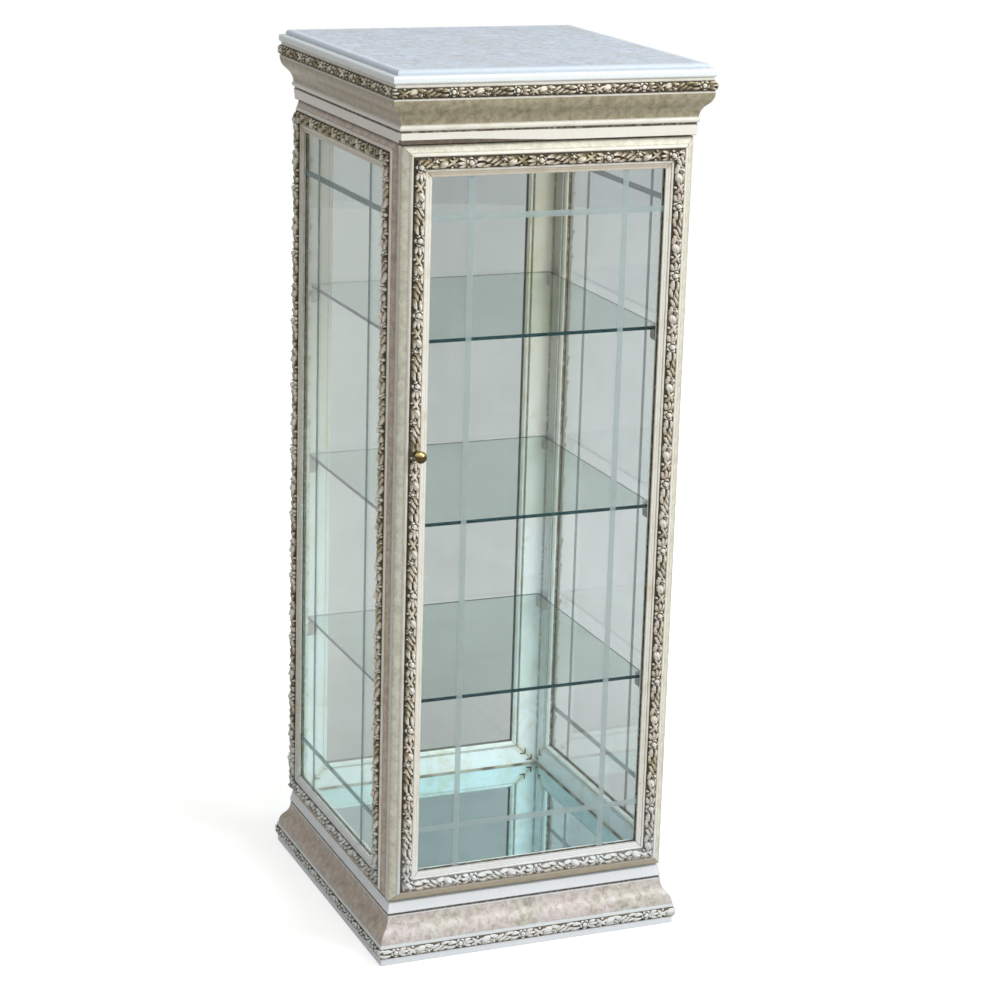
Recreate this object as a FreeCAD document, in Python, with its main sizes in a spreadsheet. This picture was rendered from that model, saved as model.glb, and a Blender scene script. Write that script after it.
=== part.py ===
import FreeCAD, Part
import os
import re

import Sketcher

# A free-standing display cabinet: four mitred moulding frames with glass panes
# stand between a stepped base and a stepped cornice. The front frame is a door.
# Millimetres, +Z up, origin under the middle of the base, the front faces -Y.

sizes = {
    # Plan and heights of the whole
    "body_width": 420.0,          # over the outer edges of the two side frames
    "body_depth": 441.0,          # from the door's outer edge to the back of the side frames
    "frame_height": 1085.0,       # side and back frames
    "plinth_thick": 10.0,
    "base_height": 62.0,          # base moulding
    "board_thick": 15.0,          # floor board and ceiling board
    "cornice_height": 66.0,       # cornice moulding
    "slab_thick": 11.0,
    "top_thick": 7.0,
    "reveal": 5.0,                # floor and ceiling boards beyond the body, each side
    "floor_draft": 3.0,           # slope of the floor board's edge
    "ceiling_draft": 1.5,         # slope of the ceiling board's edge
    "base_projection": 15.8,      # base moulding beyond the floor board
    "plinth_inset": 1.3,          # plinth board inside the base moulding
    "cornice_projection": 18.0,   # cornice moulding beyond the ceiling board
    "slab_overhang": 1.0,         # slab beyond the cornice moulding
    "slab_round": 3.5,
    "top_inset": 8.0,             # top board inside the slab
    "top_round": 5.0,
    # Base moulding section
    "moulding_width": 34.0,       # depth of base and cornice mouldings, front to inside
    "base_strip_height": 16.0,    # seat of the base ornament
    "base_strip_set": 0.8,        # seat set back from the fillet
    "base_fillet_height": 4.0,
    "base_ogee_set": 1.8,         # start of the ogee set back from the fillet
    "base_ogee_width": 14.7,
    "base_ogee_height": 37.0,
    "base_quirk_height": 3.0,
    "base_quirk_depth": 2.0,
    # Cornice moulding section, from the bottom up
    "cornice_quirk_height": 3.0,
    "cornice_quirk_depth": 1.8,
    "cornice_bead_height": 7.0,
    "cornice_bead_crest": 1.6,
    "cornice_ogee_width": 16.0,
    "cornice_ogee_height": 35.0,
    "cornice_lip_height": 2.0,
    "cornice_strip_height": 15.0,
    "cornice_strip_set": 1.6,
    "cornice_neck_set": 2.0,
    # Carved strips on base and cornice
    "strip_margin": 0.8,          # from the strip to the edges of its seat
    "base_strip_crest": 4.6,
    "cornice_strip_crest": 6.0,
    "block_size": 40.0,           # corner blocks inside base and cornice
    # Frame moulding section: u runs in from the outer edge, rise is over that edge
    "bar_width": 42.0,
    "edge_thick": 12.0,
    "slope_width": 10.7,
    "bed_rise": 7.5,              # bed of the ornament, foot of both beads
    "outer_bead_width": 4.4,
    "inner_bead_width": 4.1,
    "bead_crest": 1.8,
    "ornament_width": 15.8,
    "ornament_side": 3.2,         # upright flanks under the rounded crest
    "ornament_crest": 7.8,
    "sight_rise": 6.0,            # inner edge of the moulding
    "rabbet_rise": 3.0,           # front of the pane
    "rabbet_width": 7.0,
    "pane_thick": 4.0,
    "pane_clear": 0.5,
    "slip_thick": 8.0,            # glazing slips behind the pane
    "slip_chamfer": 2.5,
    # Door
    "door_overlap": 3.2,          # door beyond the side frames, each side
    "door_gap_top": 2.0,
    "door_gap_bottom": 3.0,
    "hinge_gap": 2.0,             # between the door's back and the side frames
    # Butt hinges
    "hinge_offset": 3.2,          # pin outside the side frame
    "hinge_inset": 165.0,         # from the door's ends to the middle of a hinge
    "leaf_height": 50.0,
    "leaf_reach": 13.2,
    "leaf_thick": 0.9,
    "barrel_radius": 2.2,
    "pin_radius": 1.1,
    "pin_clear": 0.05,
    "pin_head_radius": 1.9,
    "pin_head_thick": 1.0,
    "knuckle_length": 17.6,       # middle knuckle, on the door's leaf
    "knuckle_gap": 0.3,
    "barrel_clear": 0.4,
    # Wood screws of hinges and catch
    "screw_radius": 1.0,
    "screw_clear": 0.1,
    "screw_length": 9.0,
    "screw_head_radius": 2.0,
    "screw_head_thick": 0.5,
    "screw_spacing": 34.0,        # hinge screws
    "screw_reach": 8.2,           # hinge screws, in from the pin
    # Knob
    "knob_rise": 122.5,           # above the middle of the door
    "knob_ball_radius": 8.5,
    "knob_ball_centre": 16.0,     # above the knob's seat
    "knob_flange_radius": 5.5,
    "knob_flange_thick": 1.6,
    "knob_neck_radius": 3.4,
    "knob_seat_rise": 17.8,       # flat on the ornament, over the door's outer edge
    "knob_seat_clear": 0.4,
    "knob_bore_depth": 8.0,
    "knob_screw_radius": 1.6,
    "knob_screw_clear": 0.1,
    "knob_screw_grip": 7.0,
    "knob_screw_head_radius": 3.6,
    "knob_screw_head_thick": 1.6,
    # Magnetic catch
    "catch_rise": 195.0,          # above the middle of the door
    "catch_width": 13.0,
    "catch_depth": 16.0,
    "catch_height": 46.0,
    "catch_setback": 0.5,
    "magnet_width": 7.0,
    "magnet_depth": 10.0,
    "magnet_height": 22.0,
    "magnet_proud": 0.6,
    "magnet_clear": 0.1,
    "strike_width": 11.0,
    "strike_height": 34.0,
    "strike_thick": 1.5,
    "catch_screw_spacing": 34.0,
    # Shelves, tops measured from the floor board
    "shelf_thick": 5.0,
    "upper_shelf_top": 812.0,
    "middle_shelf_top": 551.0,
    "lower_shelf_top": 292.0,
    "shelf_side_clear": 7.0,
    "shelf_front_clear": 16.5,
    "shelf_back_clear": 1.0,
    "shelf_seat_gap": 0.2,
    "support_width": 13.0,
    "support_reach": 14.0,
    "support_height": 19.0,
    "support_round": 6.0,
    "support_front_inset": 22.0,
    "support_back_inset": 9.0,
    "mirror_thick": 3.0,
    "mirror_clear": 0.5,
    "overrun": 12.0,              # cuts run this far past the solid
}

doc = FreeCAD.newDocument("DisplayCabinet")
sheet = doc.addObject("Spreadsheet::Sheet", "Sizes")
for row, (name, size) in enumerate(sizes.items(), start=1):
    sheet.set(f"A{row}", name)
    sheet.set(f"B{row}", str(size))
    sheet.setAlias(f"B{row}", name)
doc.recompute()

pieces = []
axes = "xyz"


def sized(text):
    # Every word of an expression but sqrt is a size of the sheet
    return re.sub(r"\b(?!sqrt\b)[a-z]\w*", r"Sizes.\g<0>", text)


def worth(text):
    return float(sheet.evalExpression(text))


def bind(thing, place, text):
    thing.setExpression(place, sized(text))


def put(thing, x, y, z):
    # Place of a piece in the cabinet, as expressions
    for axis, text in zip(axes, (x, y, z)):
        bind(thing, f"Placement.Base.{axis}", text)


def turn(thing, across, rise):
    # Local X runs along across and local Y along rise
    first = FreeCAD.Vector(*across)
    second = FreeCAD.Vector(*rise)
    thing.Placement = FreeCAD.Placement(
        FreeCAD.Vector(), FreeCAD.Rotation(first, second, first.cross(second), "XYZ"))


def shifted(place, direction, text):
    # A place moved along one of the main directions
    moved = []
    for start, step in zip(place, direction):
        sign = {1: " + ", -1: " - "}.get(step)
        moved.append(f"{start}{sign}({text})" if sign else start)
    return moved


def keep(thing, label):
    thing.Label = label
    pieces.append(thing)
    return thing


def group(label, members):
    thing = doc.addObject("Part::Compound", label)
    thing.Links = members
    return keep(thing, label)


def sketch_on(body, plane, offset="0"):
    sketch = body.newObject("Sketcher::SketchObject", "Sketch")
    support = next(o for o in body.Origin.OriginFeatures if o.Role == plane)
    sketch.AttachmentSupport = [(support, "")]
    sketch.MapMode = "FlatFace"
    if offset != "0":
        bind(sketch, "AttachmentOffset.Base.z", offset)
    return sketch


def arc_between(start, end, axis, centre, ccw):
    # Arc through two points whose centre has one known coordinate
    middle = (start + end) * 0.5
    chord = end - start
    known, other = ("x", "y") if axis == "x" else ("y", "x")
    hub = FreeCAD.Vector(middle)
    setattr(hub, known, centre)
    slip = (centre - getattr(middle, known)) * getattr(chord, known)
    setattr(hub, other, getattr(middle, other) - slip / getattr(chord, other))
    radius = (start - hub).Length
    flat = FreeCAD.Vector(1, 0, 0)
    angles = [flat.getAngle(p - hub) * (1 if p.y >= hub.y else -1) for p in (start, end)]
    if not ccw:
        angles.reverse()
    return Part.ArcOfCircle(Part.Circle(hub, FreeCAD.Vector(0, 0, 1), radius), *angles)


def outline(sketch, corners):
    # Closed outline. A corner is (x, y), reached by a line, or
    # (x, y, axis, centre, ccw), reached by an arc with that centre coordinate.
    spots = [FreeCAD.Vector(worth(c[0]), worth(c[1]), 0) for c in corners]
    first = sketch.GeometryCount
    ends = []
    rules = []
    texts = []
    for index, corner in enumerate(corners):
        start, end = spots[index - 1], spots[index]
        if len(corner) == 2:
            sketch.addGeometry(Part.LineSegment(start, end))
            ends.append((1, 2))
            continue
        axis, centre, ccw = corner[2:]
        sketch.addGeometry(arc_between(start, end, axis, worth(centre), ccw))
        ends.append((1, 2) if ccw else (2, 1))
        rules.append(Sketcher.Constraint(f"Distance{axis.upper()}", -1, 1, first + index, 3, worth(centre)))
        texts.append(centre)
    for index, corner in enumerate(corners):
        for axis, text in zip("XY", corner[:2]):
            rules.append(Sketcher.Constraint(
                f"Distance{axis}", -1, 1, first + index, ends[index][1], worth(text)))
            texts.append(text)
    joins = [
        Sketcher.Constraint("Coincident", first + i - 1 if i else first + len(corners) - 1,
                            ends[i - 1][1], first + i, ends[i][0])
        for i in range(len(corners))]
    offset = sketch.ConstraintCount
    sketch.addConstraint(rules + joins)
    for index, text in enumerate(texts):
        bind(sketch, f"Constraints[{offset + index}]", text)


def box_outline(sketch, left, right, low, high):
    outline(sketch, [(right, low), (right, high), (left, high), (left, low)])


def circle(sketch, x, y, radius):
    index = sketch.addGeometry(Part.Circle(
        FreeCAD.Vector(worth(x), worth(y), 0), FreeCAD.Vector(0, 0, 1), worth(radius)))
    offset = sketch.ConstraintCount
    sketch.addConstraint([
        Sketcher.Constraint("Radius", index, worth(radius)),
        Sketcher.Constraint("DistanceX", -1, 1, index, 3, worth(x)),
        Sketcher.Constraint("DistanceY", -1, 1, index, 3, worth(y))])
    for step, text in enumerate((radius, x, y)):
        bind(sketch, f"Constraints[{offset + step}]", text)


def pad(body, sketch, length, symmetric=False):
    feature = body.newObject("PartDesign::Pad", "Pad")
    feature.Profile = sketch
    feature.SideType = "Symmetric" if symmetric else "One side"
    bind(feature, "Length", length)
    return feature


def cut(body, sketch, depth):
    # A pocket as deep on both sides of its sketch plane
    feature = body.newObject("PartDesign::Pocket", "Pocket")
    feature.Profile = sketch
    feature.SideType = "Symmetric"
    bind(feature, "Length", f"2 * ({depth})")


def new_body(label):
    return doc.addObject("PartDesign::Body", label)


def block(label, low, high):
    # Plain rectangular piece between two corners
    thing = doc.addObject("Part::Box", label)
    for side, start, end in zip(("Length", "Width", "Height"), low, high):
        bind(thing, side, f"({end}) - ({start})")
    put(thing, *low)
    return thing


def turned(label, corners):
    # Turned piece: an outline of radius and height about its own Z axis
    body = new_body(label)
    sketch = sketch_on(body, "XZ_Plane")
    outline(sketch, corners)
    feature = body.newObject("PartDesign::Revolution", "Revolution")
    feature.Profile = sketch
    feature.ReferenceAxis = (sketch, ["V_Axis"])
    return body


def bar(label, section, length, width, height, across, rise, place):
    # Moulding bar with 45 degree mitres: section in local XY, length along local Z
    body = new_body(label)
    sketch = sketch_on(body, "XY_Plane")
    outline(sketch, section)
    pad(body, sketch, f"{length} + 2 * overrun", symmetric=True)
    mitres = sketch_on(body, "XZ_Plane")
    inner = f"{width} + overrun"
    end = f"({length}) / 2"
    outline(mitres, [
        ("-overrun", f"{end} + overrun"),
        (inner, f"{end} - ({inner})"),
        (inner, f"{end} + 2 * overrun"),
        ("-overrun", f"{end} + 2 * overrun")])
    outline(mitres, [
        ("-overrun", f"-{end} - 2 * overrun"),
        (inner, f"-{end} - 2 * overrun"),
        (inner, f"({inner}) - {end}"),
        ("-overrun", f"-{end} - overrun")])
    cut(body, mitres, f"{height} + overrun")
    turn(body, across, rise)
    put(body, *place)
    return body


def hole(body, plane, offset, x, y, radius, depth):
    sketch = sketch_on(body, plane, offset)
    circle(sketch, x, y, radius)
    cut(body, sketch, depth)


def crest_arc(x, y, width, height, crest):
    # Round stretch over a foot of this width, ending at (x, y)
    centre = f"{height} + {crest} - ((({width}) / 2)^2 + ({crest})^2) / (2 * ({crest}))"
    return (x, y, "y", centre, False)


# Levels and planes that several pieces share
floor_z = "plinth_thick + base_height + board_thick"
ceiling_z = f"{floor_z} + frame_height"
cornice_z = f"{ceiling_z} + board_thick"
slab_z = f"{cornice_z} + cornice_height"
frame_mid = f"{floor_z} + frame_height / 2"
side_plane = "body_width / 2"
side_inside = "body_width / 2 - edge_thick"
back_plane = "body_depth / 2"
back_inside = "body_depth / 2 - edge_thick"
door_plane = "-body_depth / 2"
door_back = "edge_thick - body_depth / 2"
side_front = "edge_thick + hinge_gap - body_depth / 2"
side_depth = "body_depth - edge_thick - hinge_gap"
side_mid = "(edge_thick + hinge_gap) / 2"
door_width = "body_width + 2 * door_overlap"
door_height = "frame_height - door_gap_top - door_gap_bottom"
door_mid = f"{frame_mid} + (door_gap_bottom - door_gap_top) / 2"
board_half_x = "body_width / 2 + reveal"
board_half_y = "body_depth / 2 + reveal"
base_half_x = f"{board_half_x} + base_projection"
base_half_y = f"{board_half_y} + base_projection"
cornice_half_x = f"{board_half_x} + cornice_projection"
cornice_half_y = f"{board_half_y} + cornice_projection"
left, right = (-1, 0, 0), (1, 0, 0)
front, back = (0, -1, 0), (0, 1, 0)
down, up = (0, 0, -1), (0, 0, 1)


def plain_board(label, half_x, half_y, low, thick):
    body = new_body(label)
    sketch = sketch_on(body, "XY_Plane")
    box_outline(sketch, f"-({half_x})", half_x, f"-({half_y})", half_y)
    pad(body, sketch, thick)
    put(body, "0", "0", low)
    return body


def sloped_board(label, low, bottom_grow, top_grow):
    # Board whose edges slope between two outlines
    body = new_body(label)
    sketches = []
    for offset, grow in (("0", bottom_grow), ("board_thick", top_grow)):
        sketch = sketch_on(body, "XY_Plane", offset)
        half_x = f"{board_half_x} + {grow}"
        half_y = f"{board_half_y} + {grow}"
        box_outline(sketch, f"-({half_x})", half_x, f"-({half_y})", half_y)
        sketches.append(sketch)
    loft = body.newObject("PartDesign::AdditiveLoft", "Loft")
    loft.Profile = sketches[0]
    loft.Sections = [sketches[1]]
    loft.Ruled = True
    put(body, "0", "0", low)
    return keep(body, label)


def round_edges(body, radius, levels):
    # Rounds the level edges at the given local heights
    doc.recompute()
    plain = body.Tip
    picked = []
    for index, edge in enumerate(plain.Shape.Edges, start=1):
        heights = [v.Point.z for v in edge.Vertexes]
        if any(all(abs(z - worth(level)) < Part.Precision.confusion() for z in heights) for level in levels):
            picked.append(f"Edge{index}")
    fillet = body.newObject("PartDesign::Fillet", "Fillet")
    fillet.Base = (plain, picked)
    bind(fillet, "Radius", radius)


def ring(name, half_x, half_y, low, height, section):
    # Four mitred bars round the cabinet: u runs in from the outer face, v up
    runs = (
        ("front", back, f"2 * ({half_x})", ["0", f"-({half_y})", low]),
        ("back", front, f"2 * ({half_x})", ["0", half_y, low]),
        ("left", right, f"2 * ({half_y})", [f"-({half_x})", "0", low]),
        ("right", left, f"2 * ({half_y})", [half_x, "0", low]))
    return {side: bar(f"{name}_{side}", section, length, "moulding_width", height, across, up, place)
            for side, across, length, place in runs}


def corner_blocks(half_x, half_y, low, height):
    # Blocks seated in the corners behind the mouldings
    members = []
    reach_x = f"{half_x} - moulding_width"
    reach_y = f"{half_y} - moulding_width"
    spans_x = ((f"-({reach_x})", f"block_size - ({reach_x})"), (f"{reach_x} - block_size", reach_x))
    spans_y = ((f"-({reach_y})", f"block_size - ({reach_y})"), (f"{reach_y} - block_size", reach_y))
    for x0, x1 in spans_x:
        for y0, y1 in spans_y:
            members.append(block("CornerBlock", (x0, y0, low), (x1, y1, f"{low} + {height}")))
    return members


def base():
    board = plain_board("plinth_board", f"{base_half_x} - plinth_inset",
                        f"{base_half_y} - plinth_inset", "0", "plinth_thick")
    keep(board, "plinth_board")
    seat_top = "base_strip_height"
    ogee_low = f"{seat_top} + base_fillet_height"
    ogee_mid = f"{ogee_low} + base_ogee_height / 2"
    ogee_high = f"{ogee_low} + base_ogee_height"
    ogee_in = "base_ogee_set + base_ogee_width"
    section = [
        ("moulding_width", "0"),
        ("base_strip_set", "0"),
        ("base_strip_set", seat_top),
        ("0", seat_top),
        ("0", ogee_low),
        ("base_ogee_set", ogee_low),
        ("base_ogee_set + base_ogee_width / 2", ogee_mid, "y", ogee_low, False),
        (ogee_in, ogee_high, "y", ogee_high, True),
        (ogee_in, "base_height - base_quirk_height"),
        (f"{ogee_in} + base_quirk_depth", "base_height - base_quirk_height"),
        (f"{ogee_in} + base_quirk_depth", "base_height"),
        ("moulding_width", "base_height")]
    plan = (base_half_x, base_half_y, "plinth_thick", "base_height")
    for side, thing in ring("base_moulding", *plan, section).items():
        keep(thing, f"base_moulding_{side}")
    strip = strip_section("base_strip_set", "0", "base_strip_height", "base_strip_crest")
    strips = ring("BaseStrip", *plan, strip)
    group("base_ornament", list(strips.values()))
    sloped_board("floor_board", "plinth_thick + base_height", "0", "-floor_draft")


def strip_section(set_back, low, height, crest):
    # Half-round strip on an upright seat, crest outward
    foot = f"{low} + strip_margin"
    head = f"{low} + {height} - strip_margin"
    half = f"(({height}) / 2 - strip_margin)"
    centre = f"{set_back} - {crest} + ({half}^2 + {crest}^2) / (2 * {crest})"
    return [(set_back, head), (set_back, foot, "x", centre, True)]


def cornice():
    sloped_board("ceiling_board", ceiling_z, "0", "ceiling_draft")
    bead_low = "cornice_quirk_height"
    bead_high = f"{bead_low} + cornice_bead_height"
    ogee_mid = f"{bead_high} + cornice_ogee_height / 2"
    ogee_high = f"{bead_high} + cornice_ogee_height"
    seat_low = f"{ogee_high} + cornice_lip_height"
    seat_high = f"{seat_low} + cornice_strip_height"
    bead_u = "cornice_ogee_width"
    bead_hub = (f"{bead_u} - cornice_bead_crest"
                " + ((cornice_bead_height / 2)^2 + cornice_bead_crest^2) / (2 * cornice_bead_crest)")
    section = [
        ("moulding_width", "0"),
        (f"{bead_u} + cornice_quirk_depth", "0"),
        (f"{bead_u} + cornice_quirk_depth", bead_low),
        (bead_u, bead_low),
        (bead_u, bead_high, "x", bead_hub, False),
        ("cornice_ogee_width / 2", ogee_mid, "y", bead_high, True),
        ("0", ogee_high, "y", ogee_high, False),
        ("0", seat_low),
        ("cornice_strip_set", seat_low),
        ("cornice_strip_set", seat_high),
        ("cornice_neck_set", seat_high),
        ("cornice_neck_set", "cornice_height"),
        ("moulding_width", "cornice_height")]
    plan = (cornice_half_x, cornice_half_y, cornice_z, "cornice_height")
    for side, thing in ring("cornice_moulding", *plan, section).items():
        keep(thing, f"cornice_moulding_{side}")
    strip = strip_section("cornice_strip_set", seat_low, "cornice_strip_height", "cornice_strip_crest")
    strips = ring("CorniceStrip", *plan, strip)
    group("cornice_ornament", list(strips.values()))
    slab = plain_board("cornice_slab", f"{cornice_half_x} + slab_overhang",
                       f"{cornice_half_y} + slab_overhang", slab_z, "slab_thick")
    round_edges(slab, "slab_round", ("0", "slab_thick"))
    keep(slab, "cornice_slab")
    top = plain_board("top_board", f"{cornice_half_x} + slab_overhang - top_inset",
                      f"{cornice_half_y} + slab_overhang - top_inset",
                      f"{slab_z} + slab_thick", "top_thick")
    round_edges(top, "top_round", ("top_thick",))
    keep(top, "top_board")


def blocks():
    low = corner_blocks(base_half_x, base_half_y, "plinth_thick", "base_height")
    high = corner_blocks(cornice_half_x, cornice_half_y, cornice_z, "cornice_height")
    group("corner_blocks", low + high)


def frame_section():
    bead_in = "slope_width + outer_bead_width"
    bed_in = f"{bead_in} + ornament_width"
    lip_in = f"{bed_in} + inner_bead_width"
    wall = "bar_width - rabbet_width"
    return [
        (wall, "-edge_thick"),
        ("0", "-edge_thick"),
        ("0", "0"),
        ("slope_width", "bed_rise"),
        crest_arc(bead_in, "bed_rise", "outer_bead_width", "bed_rise", "bead_crest"),
        (bed_in, "bed_rise"),
        crest_arc(lip_in, "bed_rise", "inner_bead_width", "bed_rise", "bead_crest"),
        ("bar_width", "sight_rise"),
        ("bar_width", "rabbet_rise"),
        (wall, "rabbet_rise")]


def ornament_section():
    near = "slope_width + outer_bead_width"
    far = f"{near} + ornament_width"
    flank = "bed_rise + ornament_side"
    return [
        (near, "bed_rise"),
        (near, flank),
        crest_arc(far, flank, "ornament_width", flank, "ornament_crest"),
        (far, "bed_rise")]


def slip_section():
    wall = "bar_width - rabbet_width"
    front_rise = "rabbet_rise - pane_thick"
    back_rise = f"{front_rise} - slip_thick"
    return [
        (wall, back_rise),
        (wall, front_rise),
        ("bar_width", front_rise),
        ("bar_width", f"{back_rise} + slip_chamfer"),
        ("bar_width - slip_chamfer", back_rise)]


def moulded_frame(name, stiles, across, out, width, height, middle):
    # Frame in an upright plane: four bars, their ornament, the pane and its slips.
    # middle is the centre of the frame on the plane of its outer edges.
    inward = tuple(-step for step in across)
    sides = (
        (stiles[0], across, shifted(middle, inward, f"({width}) / 2"), height),
        (stiles[1], inward, shifted(middle, across, f"({width}) / 2"), height),
        ("top_rail", down, shifted(middle, up, f"({height}) / 2"), width),
        ("bottom_rail", up, shifted(middle, down, f"({height}) / 2"), width))
    bars = {}
    ornament = {}
    slips = []
    for side, toward, place, length in sides:
        deep = "edge_thick + bed_rise + ornament_side + ornament_crest"
        seat = (length, "bar_width", deep, toward, out, place)
        bars[side] = keep(bar(f"{name}_{side}", frame_section(), *seat), f"{name}_{side}")
        ornament[side] = bar("OrnamentBar", ornament_section(), *seat)
        slips.append(bar("SlipBar", slip_section(), *seat))
    group(f"{name}_ornament", list(ornament.values()))
    group(f"{name}_glazing_slips", slips)
    pane = new_body(f"{name}_pane")
    sketch = sketch_on(pane, "XZ_Plane", "pane_thick - rabbet_rise")
    half_u = f"({width}) / 2 - bar_width + rabbet_width - pane_clear"
    half_v = f"({height}) / 2 - bar_width + rabbet_width - pane_clear"
    box_outline(sketch, f"-({half_u})", half_u, f"-({half_v})", half_v)
    feature = pad(pane, sketch, "pane_thick")
    feature.Reversed = True
    turn(pane, across, out)
    put(pane, *middle)
    keep(pane, f"{name}_pane")
    return bars, ornament


def screw(place, rise):
    # Small wood screw: the face of its head at the place, the shank against rise
    thing = turned("Screw", [
        ("0", "0"),
        ("0", "-screw_length"),
        ("screw_radius", "-screw_length"),
        ("screw_radius", "-screw_head_thick"),
        ("screw_head_radius", "-screw_head_thick"),
        ("screw_head_radius", "0")])
    side = FreeCAD.Vector(*up)
    normal = FreeCAD.Vector(*rise)
    thing.Placement = FreeCAD.Placement(
        FreeCAD.Vector(), FreeCAD.Rotation(side, normal.cross(side), normal, "XYZ"))
    put(thing, *place)
    return thing


def leaf(sign, spans):
    # Hinge leaf about the pin: a plate on the +Y or -Y side and its knuckles
    body = new_body("HingeLeaf")
    near = f"{sign}(hinge_gap / 2 - leaf_thick)"
    far = f"{sign}(hinge_gap / 2)"
    edge = "-(barrel_radius + barrel_clear)"
    plate = sketch_on(body, "XY_Plane")
    box_outline(plate, "-leaf_reach", edge, near, far)
    pad(body, plate, "leaf_height", symmetric=True)
    for low, high in spans:
        tab = sketch_on(body, "XY_Plane", low)
        box_outline(tab, edge, "0", near, far)
        pad(body, tab, f"({high}) - ({low})")
        barrel = sketch_on(body, "XY_Plane", low)
        circle(barrel, "0", "0", "barrel_radius")
        pad(body, barrel, f"({high}) - ({low})")
    hole(body, "XY_Plane", "0", "0", "0", "pin_radius + pin_clear", "leaf_height")
    for spot in ("screw_spacing / 2", "-screw_spacing / 2"):
        hole(body, "XZ_Plane", f"-({far})", "-screw_reach", spot, "screw_radius + screw_clear", "hinge_gap")
        hole(body, "XZ_Plane", f"-({near})", "-screw_reach", spot,
             "screw_head_radius + screw_clear", "screw_head_thick")
    return body


def hinges(door_stile, side_stile):
    pin_x = f"{side_plane} + hinge_offset"
    pin_y = f"{side_front} - hinge_gap / 2"
    rise = f"({door_height}) / 2 - hinge_inset"
    half = "knuckle_length / 2"
    outer = f"{half} + knuckle_gap"
    frame_leaves = []
    door_leaves = []
    pins = []
    frame_screws = []
    door_screws = []
    for sign in ("", "-"):
        level = f"{door_mid} + {sign}({rise})"
        frame_leaves.append(leaf("", ((outer, "leaf_height / 2"), ("-leaf_height / 2", f"-({outer})"))))
        door_leaves.append(leaf("-", ((f"-{half}", half),)))
        pins.append(turned("HingePin", [
            ("0", "leaf_height / 2 + pin_head_thick"),
            ("0", "-leaf_height / 2"),
            ("pin_radius", "-leaf_height / 2"),
            ("pin_radius", "leaf_height / 2"),
            ("pin_head_radius", "leaf_height / 2"),
            ("pin_head_radius", "leaf_height / 2 + pin_head_thick")]))
        for thing in (frame_leaves[-1], door_leaves[-1], pins[-1]):
            put(thing, pin_x, pin_y, level)
        # Notch for the knuckles in the door's back edge
        notch = sketch_on(door_stile, "XZ_Plane", "edge_thick")
        box_outline(notch, "-overrun", "door_overlap - hinge_offset + barrel_radius + barrel_clear",
                    f"{sign}({rise}) - leaf_height / 2 - 2 * pin_head_thick",
                    f"{sign}({rise}) + leaf_height / 2 + 2 * pin_head_thick")
        cut(door_stile, notch, "barrel_radius + barrel_clear - hinge_gap / 2")
        for spot in ("screw_spacing / 2", "-screw_spacing / 2"):
            spot_z = f"{level} + {spot}"
            spot_x = f"{pin_x} - screw_reach"
            frame_screws.append(screw([spot_x, f"{pin_y} + hinge_gap / 2 - leaf_thick", spot_z], front))
            door_screws.append(screw([spot_x, f"{pin_y} - hinge_gap / 2 + leaf_thick", spot_z], back))
            hole(door_stile, "XZ_Plane", "edge_thick", "door_overlap - hinge_offset + screw_reach",
                 f"{sign}({rise}) + {spot}", "screw_radius + screw_clear", "screw_length")
            hole(side_stile, "YZ_Plane", "0", "hinge_offset - screw_reach",
                 f"{frame_mid} - ({spot_z})", "screw_radius + screw_clear", "screw_length")
    group("hinge_frame_leaves", frame_leaves)
    group("hinge_door_leaves", door_leaves)
    group("hinge_pins", pins)
    return frame_screws, door_screws


def knob(stile, ornament):
    centre_u = "slope_width + outer_bead_width + ornament_width / 2"
    for body in (stile, ornament):
        hole(body, "XZ_Plane", "0", centre_u, "-knob_rise",
             "knob_screw_radius + knob_screw_clear", "bar_width")
    seat = sketch_on(ornament, "XZ_Plane", "-(knob_seat_rise + overrun)")
    circle(seat, centre_u, "-knob_rise", "knob_flange_radius + knob_seat_clear")
    cut(ornament, seat, "overrun")
    neck_top = "knob_ball_centre - sqrt(knob_ball_radius^2 - knob_neck_radius^2)"
    thing = turned("knob", [
        ("knob_screw_radius + knob_screw_clear", "0"),
        ("knob_flange_radius", "0"),
        ("knob_flange_radius", "knob_flange_thick"),
        ("knob_neck_radius", "2 * knob_flange_thick"),
        ("knob_neck_radius", neck_top),
        ("0", "knob_ball_centre + knob_ball_radius", "y", "knob_ball_centre", True),
        ("0", "knob_bore_depth"),
        ("knob_screw_radius + knob_screw_clear", "knob_bore_depth")])
    shank = "edge_thick + knob_seat_rise + knob_screw_grip"
    bolt = turned("knob_screw", [
        ("0", "-knob_screw_head_thick"),
        ("knob_screw_head_radius", "-knob_screw_head_thick"),
        ("knob_screw_head_radius", "0"),
        ("knob_screw_radius", "0"),
        ("knob_screw_radius", shank),
        ("0", shank)])
    knob_x = f"{centre_u} - ({door_width}) / 2"
    knob_z = f"{door_mid} + knob_rise"
    for body in (thing, bolt):
        body.Placement = FreeCAD.Placement(
            FreeCAD.Vector(), FreeCAD.Rotation(FreeCAD.Vector(*up), FreeCAD.Vector(*front)))
    put(thing, knob_x, f"{door_plane} - knob_seat_rise", knob_z)
    put(bolt, knob_x, door_back, knob_z)
    keep(thing, "knob")
    keep(bolt, "knob_screw")


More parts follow.
